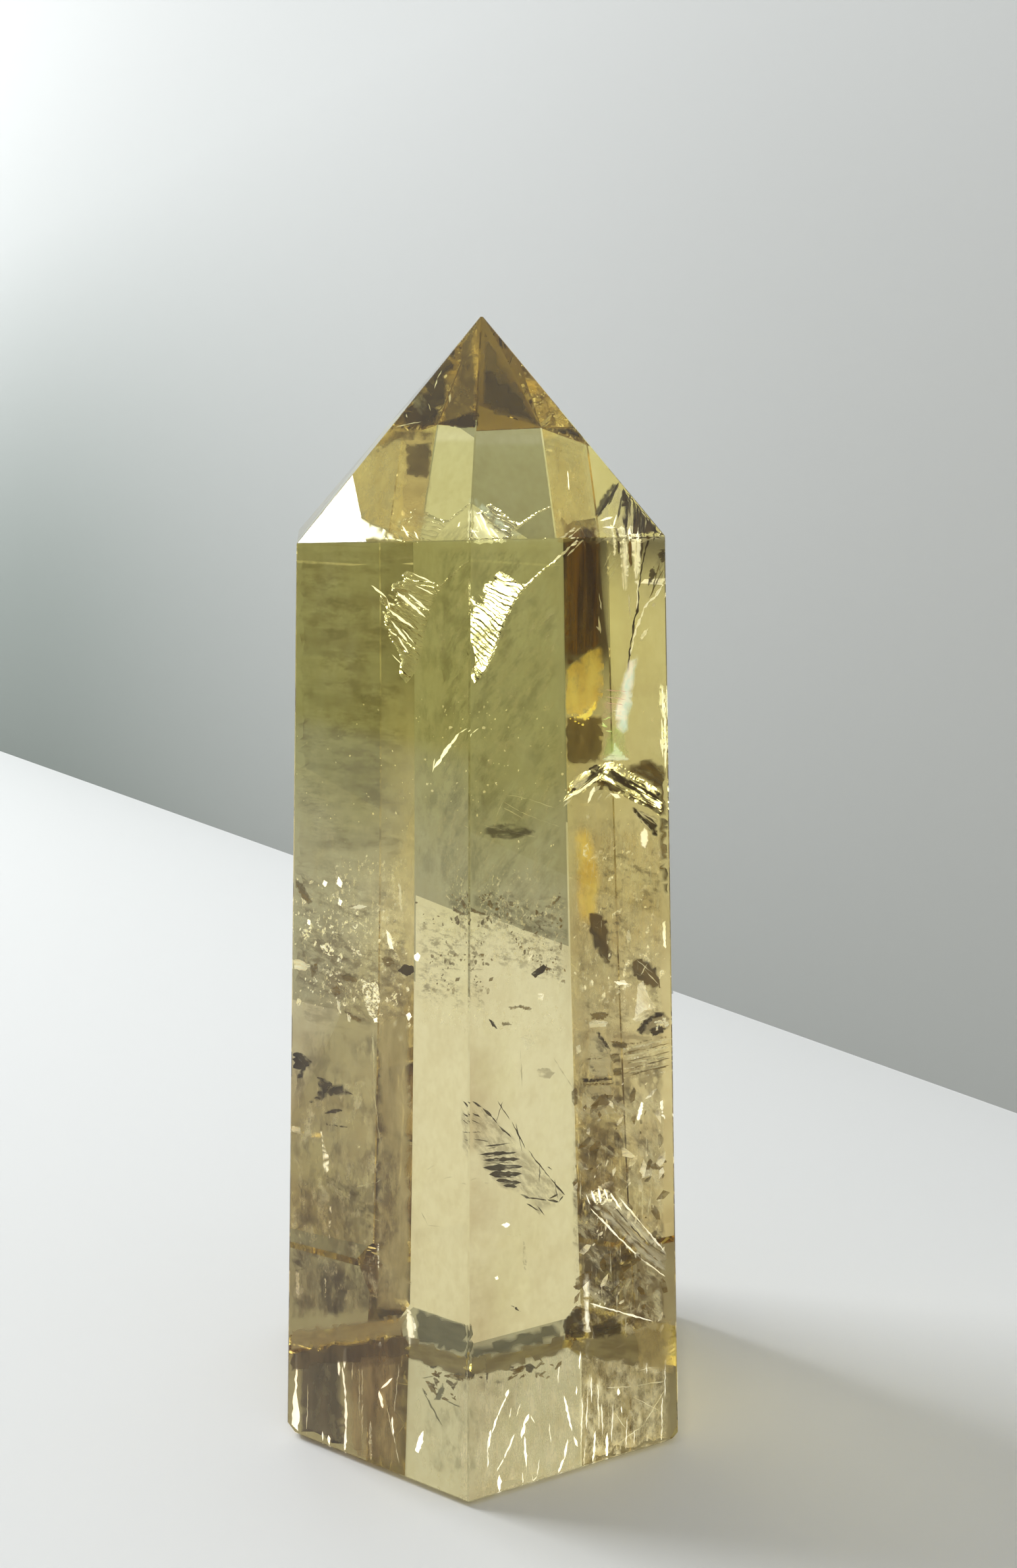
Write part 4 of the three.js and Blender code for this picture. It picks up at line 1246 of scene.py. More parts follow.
        (5, 0.08, 115, (-21.2, 59.2), (-20.4, 58.8), (-19.3, 56.6), (-19.8, 56.2), (-20.7, 57.2),
         (-21.3, 58.3)),
        (5, 0.08, 150, (-19.8, 49.2), (-18.9, 49.6), (-18.8, 48.6), (-19.6, 47.6)),
        (5, 0.08, 170, (-16.4, 48.1), (-15.4, 48.4), (-14.2, 47.7), (-14.6, 47.2), (-16, 47.4)),
        (5, 0.08, 155, (-16.1, 44), (-15.3, 43.8), (-13.9, 42.9), (-14.3, 42.4), (-15.4, 43)),
        (5, 0.08, 160, (-17.6, 46.6), (-16.7, 46.9), (-16.1, 46), (-17.1, 45.5)),
        (5, 0.08, 160, (-11.8, 50.1), (-10.7, 50.5), (-10.1, 49.5), (-11.2, 48.9)),
        (2.5, 0.08, 165, (2.6, 44.5), (4, 44.8), (5.3, 44.4), (5.2, 43.9), (3.8, 44.4), (2.8, 44.1)),
        (2.5, 0.08, 165, (1.7, 42.7), (2.6, 42.8), (3.1, 42.4), (2, 42.2)),
        (2.5, 0.08, 55, (7.1, 56.2), (8.1, 57.2), (8.4, 58), (8.5, 57.2), (7.8, 56.3)),
        (5, 0.08, 160, (-1.6, 56.1), (-0.9, 55.7), (0.6, 55.2), (-0.5, 55.1), (-1.7, 55.5)),
        (4.5, 0.08, 175, (11.8, 43.8), (13.1, 44.1), (14.1, 43.7), (13.5, 43), (12, 43)),
        (4.4, 0.04, 5, (11.2, 35.5), (14.6, 35.7), (14.7, 35.4), (11.4, 35.2)),
        (4.4, 0.04, 0, (14.2, 40.6), (16, 40.5), (16.2, 39.7), (14.4, 39.8)),
        (4.4, 0.04, 10, (14.5, 37.3), (15.5, 37.5), (15.6, 36.4), (14.6, 36.4)),
        (4.4, 0.04, 5, (11.5, 38.5), (13.3, 38.6), (13.3, 38.4), (11.6, 38.3)),
        (4.4, 0.04, 10, (14, 39), (15.2, 39.2), (15.5, 38.1), (14.5, 37.9)),
        (4.4, 0.04, 10, (12, 34), (13.8, 34.3), (14.4, 33.5), (13.3, 33.7), (12.3, 33.4)),
        (4.4, 0.04, 30, (12.1, 32.3), (13.6, 33.1), (14.5, 33.4), (13.8, 32.6), (12.4, 31.8)),
        (4, 0.05, 10, (15.6, 40.3), (17.1, 40.5), (18.9, 40.9), (20.6, 41.2), (20.6, 40.9), (18.9, 40.7),
         (17.1, 40.2), (15.6, 40.1)),
        (4, 0.05, 10, (15.7, 39.2), (17.1, 39.3), (18.9, 39.7), (20.6, 40), (20.6, 39.8), (18.9, 39.5),
         (17.2, 39.1), (15.7, 38.9)),
        (4, 0.05, 10, (15.7, 38), (17.1, 38.2), (19, 38.6), (20.6, 38.8), (20.6, 38.6), (19, 38.3),
         (17.2, 37.9), (15.7, 37.8)),
        (4, 0.05, 10, (15.7, 36.8), (17.1, 37), (19, 37.4), (20.6, 37.7), (20.6, 37.4), (19, 37.2),
         (17.2, 36.7), (15.7, 36.6)),
    ],
    "veil": [
        (6, 0.8, 90, (12.8, 96.8), (14.8, 97), (14.8, 92.4), (14.2, 90.6), (13.1, 92.4)),
        (6, 0.4, 115, (15.6, 35.1), (20.4, 35.1), (20.6, 23.3), (16.2, 22.4)),
        (7.2, 0.4, 150, (16.7, 11.9), (19, 12.2), (19.4, 10.3), (17.3, 9.4)),
        (1, 0.3, 135, (-7.4, 111.8), (-6.7, 112.1), (-6.1, 111.4), (-6, 110.5), (-6.7, 109.6),
         (-7.4, 110.3), (-7.9, 111)),
    ],
    "veilbright": [
        (4.5, 0.2, 140, (13.7, 72.4), (14.8, 72.3), (16, 71.4), (16.4, 70.2), (15.6, 70.4), (14.5, 71.4),
         (13.7, 71.7)),
        (2.5, 0, 155, (4, 41), (5.1, 41.4), (5.6, 40.2), (4.7, 39.4)),
        (5, 0.03, 100, (-22.5, 23.7), (-21.7, 18.1), (-21.3, 14.4), (-21.6, 15.6), (-22.2, 18.9)),
        (5, 0.03, 90, (-20.9, 23.4), (-20.7, 23.3), (-21, 19.7), (-21.2, 19.9)),
        (4.5, 0.4, 100, (18.4, 29.5), (19.1, 28), (19.9, 24.1), (20.3, 19.9), (19.8, 20.8), (19.3, 24.1),
         (18.7, 26.8)),
        (4.5, 0.4, 95, (20.3, 28), (20.6, 27.7), (20.7, 23.3), (20.4, 24.1)),
        (4.5, 0.4, 100, (14.7, 29.7), (15.2, 29.4), (15.3, 26.3), (14.9, 26.7)),
        (4.5, 0.4, 50, (15.9, 10.3), (16.3, 11.9), (17.5, 12.4), (16.9, 11.1), (16.3, 9)),
        (4.5, 0.4, 125, (19.2, 10.3), (20.5, 10.9), (20.8, 7.8), (19.9, 6.2)),
    ],
    "veins": [
        (4.2, 0.4, 135, (9.9, 35.9), (20.4, 35.1), (20.9, 4.5), (10.1, 5.3)),
        (4.6, 0.4, 90, (-22, 35.7), (-8.8, 35.7), (-9.4, 7.6), (-23, 6.6)),
        (4, 0.5, 25, (12.5, 10.2), (20.7, 11.9), (20.9, 2.9), (12.6, 2.8)),
    ],
    "veinsdark": [
        (5, 0.4, 135, (9.8, 42.1), (20.3, 39.1), (20.9, 4.5), (10.1, 5.3)),
        (5, 0.4, 145, (-22.3, 24.5), (-8.9, 24.6), (-9.4, 7.6), (-23, 6.6)),
    ],
    "web": [
        (3, 0.4, 90, (11.3, 1.4), (20.9, 3.4), (21.1, -8.9), (11.5, -12)),
        (2.2, 0.15, 90, (11.3, 8.9), (11.9, 8.6), (12.6, 2), (13.9, -4.7), (13.9, -11), (11.5, -12),
         (11.1, -4.8), (11.5, 1.9)),
        (3.6, 0.1, 135, (12.8, 20.6), (15.4, 21.6), (20.1, 16), (21, 12.8), (17, 15.6), (13.6, 19.2)),
    ],
    "webdark": [
        (2, 0.05, 170, (-8.5, 1.1), (-7.6, 1.4), (-6.6, 0.8), (-6.9, 0.1), (-8, 0.4)),
        (2, 0.05, 5, (0.8, -1.3), (1.9, -0.8), (2.4, -1.1), (1.1, -1.8)),
        (3.6, 0.4, 90, (12, 1.1), (20.9, 4), (21.1, -8.5), (15, -10.6), (12.7, -9.8)),
        (3.8, 0.1, 135, (11.9, 20.3), (13.2, 19.8), (17, 16), (20.7, 11.9), (20.1, 11.6), (16.3, 14.7),
         (12.8, 18.2)),
    ],
    "wedge": [
        (1.6, 0.1, 60, (14, 103), (14.4, 102.6), (12.8, 99.7), (11.9, 98.7), (11.8, 99.7), (12.6, 101.4)),
        (2, 0.06, 10, (9.1, 6.6), (10.1, 7.9), (11.3, 8.2), (11.8, 4.3), (10.1, 4.4), (9, 4.9)),
        (2.5, 0.3, 15, (12.4, 5.9), (14.8, 7.3), (16.2, 6.1), (16, 3.7), (13.5, 1.5), (12.7, 2)),
        (2, 0.05, 130, (-6.6, 1.3), (-5.4, 0.9), (-5.9, 0.3), (-6.6, 0.4)),
        (2, 0.05, 95, (-4.1, 1), (-3.9, 0.8), (-4.1, -0.2), (-4.2, 0.3)),
        (2, 0.05, 140, (-3.7, 0.6), (-2.3, 0.3), (-2, -0.7), (-3.1, -0.9), (-3.8, -0.7)),
        (2, 0.05, 165, (4.5, 0.9), (5.3, 1.2), (5.9, 0.6), (5.3, -0.1), (4.7, 0)),
        (2, 0.05, 140, (2.6, 0.9), (3.4, 0.7), (3.3, 0.3), (2.7, 0.4)),
        (2, 0.05, 95, (0, 0.5), (0.4, 0.2), (0.2, -1.5), (0, -1)),
    ],
    "white": [
        (4, 0.15, 130, (17.3, 64.8), (17.7, 65.3), (18.1, 64.8), (18.2, 63.7), (17.8, 62.8), (17.4, 63.1),
         (17.2, 63.9)),
        (5, 0, 100, (-18, 59.1), (-17.6, 58.8), (-17.9, 58.3), (-18.2, 58.6)),
        (5, 0, 105, (-16.4, 59.5), (-15.9, 58.8), (-16.1, 58.2), (-16.6, 58.6)),
        (5, 0, 100, (-16.4, 57.1), (-16, 56.7), (-16.2, 56.1), (-16.5, 56.4)),
        (5, 0, 105, (-19.9, 54.6), (-19.6, 54.4), (-19.7, 53.9), (-20, 54.1)),
        (5, 0, 175, (-8, 50.5), (-7.6, 50.8), (-7.3, 50.5), (-7.5, 49.8), (-7.9, 49.9)),
        (5, 0, 160, (-9, 43.5), (-8.6, 43.8), (-8.3, 43.3), (-8.7, 42.8)),
        (5, 0, 135, (-12.7, 43), (-12.3, 43.2), (-12.2, 42.6), (-12.6, 42.6)),
        (2.5, 0.03, 10, (1.7, 18.3), (2.4, 18.7), (3, 18.4), (2.4, 18)),
        (2.5, 0.03, 150, (1, 11.9), (1.4, 12.1), (1.5, 11.6), (1.1, 11.5)),
        (4.5, 0.05, 70, (17.3, 31.2), (17.4, 32.3), (17.8, 33.4), (18.1, 33.2), (17.9, 31.8), (17.5, 31)),
        (2, 0, 90, (-22.4, 2), (-22.1, 1.8), (-22.4, -2.6), (-22.1, -5.3), (-22.3, -7.8), (-23.1, -7.5),
         (-23, -5.6), (-22.6, -2.6)),
        (2, 0, 80, (-7.4, -7.6), (-7.5, -9.2), (-8, -10.5), (-8.4, -10.2), (-7.9, -8.3)),
        # the next sheet is a painted reflection of the window on the left tip facet
        (0.8, 0.1, 115, (-15, 103.4), (-15, 101.2), (-14.3, 99.7), (-12.3, 98.4), (-9.8, 97.3),
         (-9.7, 96.6), (-14.5, 96.6), (-15.2, 102.2)),
    ],
}
for name, sheets in flakes.items():
    inner(name + "_flakes", flakeMesh(name + "_flakes", sheets), flakeFinishes[name])
print("flakes made")

# strokes by finish: depth, then from where to where each runs, across and up, and its width
strokes = {
    "bandgreen": [
        (2, (-7.3, -2.8, -5.1, -7.1, 0.19), (-4.8, -3.7, -2.9, -4.6, 0.13), (-7.6, -0.9, -6, -0.6, 0.12)),
        (1.6, (0.9, 92.7, 3.7, 91.1, 0.29), (0.4, 91.6, 3.5, 90.1, 0.25), (1.4, 90.1, 3, 89.1, 0.15),
         (-0.6, 89.7, 1, 88.9, 0.19), (1, 88.9, 2.6, 88, 0.15), (0.1, 88.6, 2.1, 87.2, 0.13),
         (-0.8, 88.3, 0.5, 87.2, 0.13), (0.5, 87.2, 1.9, 86.4, 0.13), (-0.2, 87.2, 1.6, 85.9, 0.12),
         (0.1, 86.6, 1.3, 85.5, 0.13), (-0.2, 86, 1.2, 84.9, 0.12), (-0.3, 85.4, 0.9, 84.4, 0.12),
         (-0.4, 84.7, 0.7, 83.8, 0.12), (-1, 84.6, 0.3, 83.3, 0.17), (-1.3, 84.7, -0.2, 82.8, 0.15),
         (-1, 82.8, -0.2, 81.9, 0.13)),
    ],
    "bark": [
        (4.7, (15.6, 97, 15.8, 93.7, 0.36), (17, 97, 16.9, 94.5, 0.29), (14.4, 97, 14.5, 95.1, 0.29)),
    ],
    "blade": [
        (5, (7.4, 94.4, 8.4, 95.1, 0.29), (9.1, 95.8, 10.3, 96.9, 0.29), (9.3, 96, 10, 96.3, 0.22)),
        (4.8, (19.9, 92.8, 19.1, 91.6, 0.22), (19.2, 91.8, 18.4, 90.5, 0.29), (18.6, 90.7, 17.8, 90, 0.22),
         (17.9, 90.2, 17.2, 89.3, 0.26), (17.3, 89.4, 16.9, 88.2, 0.22), (17, 88.4, 16.4, 87, 0.29),
         (16.5, 87.4, 16.1, 85.7, 0.22), (16.2, 86, 15.9, 84.3, 0.22), (16.6, 92.4, 16.5, 89.2, 0.16),
         (16.4, 95.4, 16.3, 92.6, 0.15)),
        (4, (12.1, 20.5, 15.5, 16.8, 0.25), (15.2, 17.1, 18.2, 14.2, 0.25), (17.8, 14.5, 20.9, 12.1, 0.25),
         (15.4, 21.8, 18.1, 18.6, 0.22), (17.9, 18.8, 20.8, 15.2, 0.22), (12.2, 8.7, 16, 7.6, 0.25),
         (15.6, 7.7, 19.6, 6.5, 0.22)),
        (3, (-2.8, 75.7, -1.9, 76.2, 0.13), (-5.5, 72.9, -5.8, 71.3, 0.15)),
        (2.4, (6.4, -11.1, 6.1, -13.3, 0.15), (6.1, -13.3, 5.4, -14.3, 0.13),
         (4.3, -12.8, 4.4, -14.3, 0.13), (3, -4.5, 2.8, -5.9, 0.13), (4.1, -4, 3.6, -5.7, 0.12),
         (0.3, -8.2, 0.2, -11.3, 0.12), (7.5, -6.5, 7.7, -9, 0.12), (8.6, 1.1, 8.5, -1.4, 0.12),
         (12, -2.2, 11.9, -7.3, 0.16), (12.4, -0.5, 12.5, -3.9, 0.15), (13.2, -1.4, 13.4, -7.3, 0.17),
         (13.7, -3.9, 13.8, -8.1, 0.13), (11.4, -3.1, 11.3, -9.8, 0.17), (11.9, -8.1, 11.6, -11.9, 0.16),
         (15, -3.9, 14.9, -8.9, 0.12), (16.7, -5.5, 16.6, -9.8, 0.12), (17.6, -7.2, 17.5, -9.4, 0.12),
         (20.8, -3, 20.8, -8.9, 0.15), (21.1, 2, 21.1, -3, 0.13), (18.9, 2, 18.9, -0.1, 0.12),
         (15.8, 4.5, 15.8, 2.3, 0.12)),
    ],
    "hazewarm": [
        (3, (7.8, 38.5, 10, 34.9, 0.15), (4, 39.7, 4.2, 35, 0.13)),
        (6, (-6.8, 25, -5.8, 25.6, 0.15), (-4.9, 23.9, -3.6, 24.2, 0.15), (-2.8, 23.4, -2.1, 23.2, 0.16),
         (-6.7, 18.2, -5, 18.1, 0.13), (-5.1, 49, -2.7, 48.8, 0.15), (-7.4, 19.8, -6.7, 18.2, 0.12)),
    ],
    "ink": [
        (2.5, (-0.7, 26.9, 3.6, 27.2, 0.43), (-0.3, 26.6, 2.4, 27, 0.09), (-0.3, 26.2, 4, 26.4, 0.62),
         (-0.1, 25.8, 3, 26, 0.09), (-0.3, 25.3, 4.3, 25.5, 0.79), (0.4, 25, 3, 25.1, 0.09),
         (0.4, 24.5, 4.2, 24.6, 0.79), (1, 24.2, 3.7, 24.2, 0.09), (1.2, 23.8, 4.2, 23.5, 0.61),
         (1.7, 23.4, 3.6, 23.3, 0.09), (2, 23.2, 3.7, 23, 0.42), (-1.5, 33.3, -0.4, 32.6, 0.23),
         (-0.4, 32.6, 0.8, 31.4, 0.3), (0.7, 31.5, 1.4, 30.6, 0.16), (1.4, 30.5, 3, 29, 0.21),
         (-1.5, 31.9, -0.6, 31.4, 0.22), (-1.6, 31.1, -0.5, 30.5, 0.15), (-1.6, 29.6, -0.4, 29.6, 0.12),
         (-1.4, 28.8, 0.4, 28.5, 0.14), (-0.2, 27.9, 2.9, 28.3, 0.19), (0.2, 27.6, 1.4, 27.9, 0.09),
         (1.4, 33.4, 2.8, 31.1, 0.14), (2, 33.3, 1.2, 30.8, 0.09), (3, 31, 4.6, 27.6, 0.15),
         (3.5, 30.8, 4.2, 27.2, 0.09), (4.9, 27.5, 6.4, 25.4, 0.13), (5.8, 26.3, 7.5, 24, 0.15),
         (6.3, 26, 6.2, 23.6, 0.09), (7.4, 24.1, 9.2, 22, 0.22), (8, 24, 8.3, 21.6, 0.09),
         (9, 22, 8.5, 21.2, 0.2), (8.5, 21.2, 7.1, 21.5, 0.29), (7.3, 21.6, 8.4, 22.2, 0.21),
         (4, 22.1, 5.2, 21.6, 0.26), (5, 21.7, 7.1, 21.4, 0.21), (4.7, 21, 6.2, 20.1, 0.17),
         (6, 20.7, 6.9, 19.5, 0.16), (7.1, 25.5, 7.7, 25.1, 0.13)),
    ],
    "lime": [
        (4.8, (12.9, 77.2, 13.9, 77.5, 0.19), (12.8, 76.6, 13.5, 76.4, 0.19), (13.2, 76, 14, 75.9, 0.2),
         (12.9, 76.9, 13.2, 76.4, 0.23)),
    ],
    "milk": [
        (5, (8.3, 95, 9.3, 96, 0.29), (8.9, 94.9, 9.8, 95.8, 0.22), (9.7, 95.7, 10.9, 97, 0.22),
         (8, 94.8, 8.7, 95.5, 0.18), (12.4, 88.5, 12.6, 86.6, 0.22), (12.1, 87.4, 12.5, 86.9, 0.18),
         (12.4, 91, 12.7, 89.2, 0.15), (15.6, 90.9, 15.8, 88.3, 0.16)),
        (4.5, (16.8, 85.7, 17.6, 86.6, 0.16)),
        (3.6, (11.9, 69, 12.8, 69.9, 0.36), (13.3, 68.4, 14.1, 69.1, 0.29), (12.4, 68.2, 13, 69, 0.22),
         (16.3, 67, 18.5, 64.8, 0.18), (16.8, 67.1, 19, 65.5, 0.18), (17.2, 67, 19, 66, 0.15),
         (8.7, 67.5, 9.6, 68.4, 0.29)),
        (4.2, (17, 50.1, 18.9, 48.5, 0.13), (17.8, 49.1, 19.6, 47.2, 0.13), (18.3, 49.7, 17.5, 48.3, 0.12)),
        (4, (16.6, 19.2, 18.9, 16.2, 0.17)),
        (1, (-4.5, 114.4, -5, 113.5, 0.16), (-5, 113.5, -5.3, 112.5, 0.13),
         (-8.3, 109.9, -8.2, 109.5, 0.22), (-3.6, 112, -3.7, 111, 0.22), (-6, 111, -5.7, 110.2, 0.12),
         (-9.5, 108.5, -6.7, 109.1, 0.1)),
        (2.4, (-13.7, -6.3, -13.7, -11.5, 0.36), (-14.5, 1.7, -14.7, -8.4, 0.12),
         (-14.9, 0.9, -15, -5.9, 0.1), (-21, -1.7, -21.3, -8.5, 0.1), (-15.6, 2.4, -15.8, -1.3, 0.15),
         (-10.2, 0.9, -10.9, -5.8, 0.12), (-11.8, -4.1, -10.3, -11.9, 0.12)),
        (2.8, (12.9, 1.6, 14.9, 2.8, 0.16), (14.7, 2.8, 16.6, 3.8, 0.16), (14.2, -1.9, 17.3, -1.7, 0.13),
         (17.1, -1.7, 21, -1, 0.13), (18.7, -6.5, 21.1, -2.1, 0.15), (15.8, -8.9, 18.9, -6.4, 0.13),
         (12.5, 5.3, 13.5, 2, 0.13), (16.4, 1.2, 19.5, 2.7, 0.13), (15, -4.7, 16.6, -7.2, 0.12),
         (17.3, -3, 20.4, -4.7, 0.12), (18, 0.3, 20.9, 1.2, 0.12)),
    ],
    "rainbow": [
        (4.8, (14, 78.2, 15.5, 78.1, 0.1), (14.2, 77.7, 15.4, 77.5, 0.1)),
    ],
    "rose": [
        (4.8, (13.2, 80.5, 15.6, 80.3, 0.15), (13.1, 79.7, 15.5, 79.4, 0.13),
         (13.3, 79.1, 15.2, 78.8, 0.12)),
    ],
    "smoke": [
        (5.2, (17.8, 97, 17.3, 95.4, 0.29), (17.4, 95.6, 17, 94, 0.22), (17.1, 94.4, 16.8, 92.7, 0.25),
         (16.9, 93, 16.6, 91.1, 0.22), (16.6, 91.4, 16.7, 90, 0.25), (16.6, 90.3, 16.5, 88.6, 0.33),
         (16.5, 89, 16.1, 87.4, 0.22), (16.2, 87.9, 16.1, 86.3, 0.29), (16.1, 86.6, 15.8, 85, 0.17),
         (15.9, 85.3, 15.7, 83.9, 0.25), (15.8, 84.2, 15.6, 82.3, 0.17)),
        (4, (14.7, 20.8, 18.5, 16.4, 0.15)),
    ],
    "umber": [
        (3.8, (18.9, 94.4, 18.1, 91, 0.15), (19.4, 93.7, 17.8, 90.4, 0.15)),
        (4, (13.8, 20.5, 17, 16.8, 0.25), (16.6, 17.1, 20.1, 14, 0.29), (19.2, 16, 21, 14.7, 0.22)),
        (3.9, (15.8, 39.2, 18.4, 39.7, 0.13), (18.4, 39.7, 21, 40.4, 0.13), (16.1, 38.2, 18.9, 38.8, 0.13),
         (18.9, 38.8, 21, 39.4, 0.13), (16.2, 37.2, 18.2, 37.8, 0.17), (18.2, 37.8, 21, 38.6, 0.17),
         (16.4, 36.5, 18.7, 37.2, 0.15), (18.7, 37.2, 20.9, 37.7, 0.15)),
    ],
    "veilbright": [
        (5, (13.1, 93, 14.3, 95, 0.16), (13.4, 92.4, 14.6, 94.4, 0.15), (12.9, 93.7, 13.7, 95.5, 0.13)),
        (5.5, (-12.8, 42, -12.7, 38.1, 0.16), (-12.7, 38.5, -12.7, 33.7, 0.16),
         (-12.7, 34.1, -12.3, 30.2, 0.16), (-12.4, 30.6, -11.8, 26.5, 0.16),
         (-11.8, 27, -10.9, 24.8, 0.16), (-10.9, 24.9, -12.7, 23.3, 0.16), (-12.6, 23.5, -15, 22.8, 0.16),
         (-13.1, 19, -8.8, 17.5, 0.16)),
        (5, (1.2, 66.3, 2, 68.1, 0.13), (2, 68.1, 3.9, 66.9, 0.12), (3.9, 66.9, 8.3, 65.2, 0.13),
         (2.5, 68.8, 4.7, 68.4, 0.12), (4.7, 68.4, 7.6, 67.4, 0.12), (2, 67.4, 4.7, 65.9, 0.12),
         (-0.1, 65.4, 2.5, 64.7, 0.12), (2.5, 64.7, 6, 64, 0.12)),
        (4, (15.8, 39.6, 18.2, 40.2, 0.22), (18.2, 40.2, 21, 40.9, 0.22), (16, 38.8, 18.7, 39.3, 0.22),
         (18.7, 39.3, 21, 40, 0.22), (16.1, 37.9, 19, 38.4, 0.19), (19, 38.4, 21, 39, 0.19),
         (16.2, 36.8, 18.4, 37.3, 0.16), (18.4, 37.3, 20.5, 37.7, 0.16)),
    ],
    "wedge": [
        (1.4, (14.3, 102.5, 12.9, 100, 0.22), (14.9, 102.1, 14.3, 98.7, 0.25),
         (15.3, 101.6, 15.2, 96.8, 0.22), (16, 101.4, 16.2, 98, 0.29), (16.7, 100.5, 17.2, 97.2, 0.26),
         (17.6, 99.7, 18, 97.6, 0.22), (18.4, 98.6, 18.2, 96.5, 0.22), (13.5, 101.1, 12.2, 99.3, 0.17)),
        (1.3, (14.4, 102.8, 13.3, 100.3, 0.33), (13.9, 102.1, 12.1, 99, 0.25),
         (15.6, 102.1, 15.6, 99, 0.22), (16.4, 101.1, 16.5, 98, 0.17), (18, 99.1, 18.5, 97.2, 0.22),
         (17.1, 100.4, 17.6, 98.3, 0.17)),
    ],
    "white": [
        (2, (19.4, 81, 19.6, 77.4, 0.22), (19.8, 79.6, 19.8, 74.5, 0.25), (19.4, 77.4, 19.6, 73, 0.17),
         (19.9, 75.2, 19.9, 71.8, 0.22)),
        (3.6, (8.7, 68.1, 12.8, 70.9, 0.29), (11.4, 67.9, 12.1, 69.8, 0.44), (13.8, 69.1, 15, 68.5, 0.44)),
        (3, (-2.8, 75.7, -3.8, 74.3, 0.33), (-3.7, 74.6, -4.9, 72.7, 0.47), (-4.7, 73, -5.7, 71.7, 0.36)),
        (1.2, (-1, 99.3, -0.2, 97.6, 0.16), (-0.5, 99.6, 0.2, 98, 0.25), (0, 98.3, 0.7, 97, 0.25),
         (0.5, 98, 1.6, 96.8, 0.19), (-1.3, 97.6, -0.6, 96.8, 0.16), (-8.9, 98.2, -8.2, 96.9, 0.19),
         (-7.6, 97.6, -7.1, 96.7, 0.19), (-2.6, 98.6, -2.9, 98, 0.19), (8.9, 104, 9.1, 101.9, 0.16)),
        (1.4, (12.4, 98.7, 13.8, 99.1, 0.22), (12.7, 98, 14.1, 98, 0.19), (14.2, 99.4, 13.8, 98, 0.17),
         (15.6, 98, 15.6, 96.5, 0.29), (16.5, 97.6, 16.4, 96.5, 0.22)),
        (2, (-16.5, 3, -16.7, 0.2, 0.36), (-17.4, 1.5, -17.3, -0.7, 0.29), (-16.9, 0.5, -16.6, -3.5, 0.26),
         (-16.6, -3.4, -16.6, -7.6, 0.32), (-16.6, -7.2, -16.8, -10.6, 0.29),
         (-12.4, 3.7, -12.4, 2.4, 0.33), (-12.6, -2.5, -12.2, -4.8, 0.36), (-12.4, -2.3, -11, -0.9, 0.25),
         (-11.1, -5.8, -11, -8.2, 0.22), (-18.7, -8.3, -18.6, -9.6, 0.36),
         (-19.4, -7.8, -19.4, -9.1, 0.22), (2.7, -2.2, 2.4, -3.3, 0.33), (2.4, -3.2, 1.4, -5.7, 0.2),
         (1.4, -5.5, 0.7, -7.9, 0.22), (0.6, -7.4, 0.3, -9.8, 0.25), (5.1, -5.3, 4.4, -6.9, 0.36),
         (4.6, -6.5, 4.2, -8.5, 0.39), (4.6, -8.2, 4.8, -12.3, 0.28), (3.4, -7.9, 2.5, -10.3, 0.32),
         (2.5, -9.9, 2.2, -11.1, 0.22), (1.6, -13.2, 1.6, -15.4, 0.47), (0.3, -10.8, 0.2, -12.3, 0.16),
         (2.1, -11.1, 1.3, -12.8, 0.15), (9.2, -2.9, 10.2, -7.5, 0.26), (11.1, 2.8, 11, 0.4, 0.17),
         (10.7, -1.7, 10.7, -2.9, 0.22), (9.7, -8.5, 9.3, -11.2, 0.26), (9.3, -11, 8.6, -12.9, 0.25),
         (10.4, -8.1, 10.9, -9.5, 0.29), (14.4, -7.6, 14.3, -11, 0.29), (13, -7.3, 12.7, -11.5, 0.25),
         (15.6, -1.9, 15.6, -2.9, 0.36), (16, -4.2, 16.1, -5.2, 0.22), (5.3, -5.5, 5.8, -6.5, 0.16)),
        (3.6, (12.2, 22.7, 12.7, 21.1, 0.29), (13, 23, 13.3, 21.1, 0.25), (13.7, 22.9, 14.1, 21.4, 0.22),
         (14.4, 22.4, 15.7, 20.2, 0.19), (11.6, 22.2, 12.1, 20.9, 0.17)),
        (3.5, (-12.3, 91.8, -10.6, 90.4, 0.22), (-10.6, 90.4, -10.3, 89.3, 0.15),
         (-9.5, 91.1, -6.4, 88.3, 0.36), (-7.8, 93.1, -5.5, 92, 0.17), (-8.3, 90.9, -6.4, 89.4, 0.22),
         (-10.5, 89.2, -7.6, 87.1, 0.29), (-10.2, 88, -8.4, 85.7, 0.29), (-9, 87.1, -7.7, 85.5, 0.2),
         (-9.5, 86.3, -8.3, 84.4, 0.19), (-10.1, 84.3, -9.1, 83.2, 0.12), (-7.6, 90, -6, 89.1, 0.15),
         (-7.5, 91.8, -5.5, 90.8, 0.13)),
    ],
}
for name, bundles in strokes.items():
    inner(name + "_strokes", strokeMesh(name + "_strokes", bundles), flakeFinishes[name])
print("strokes made")

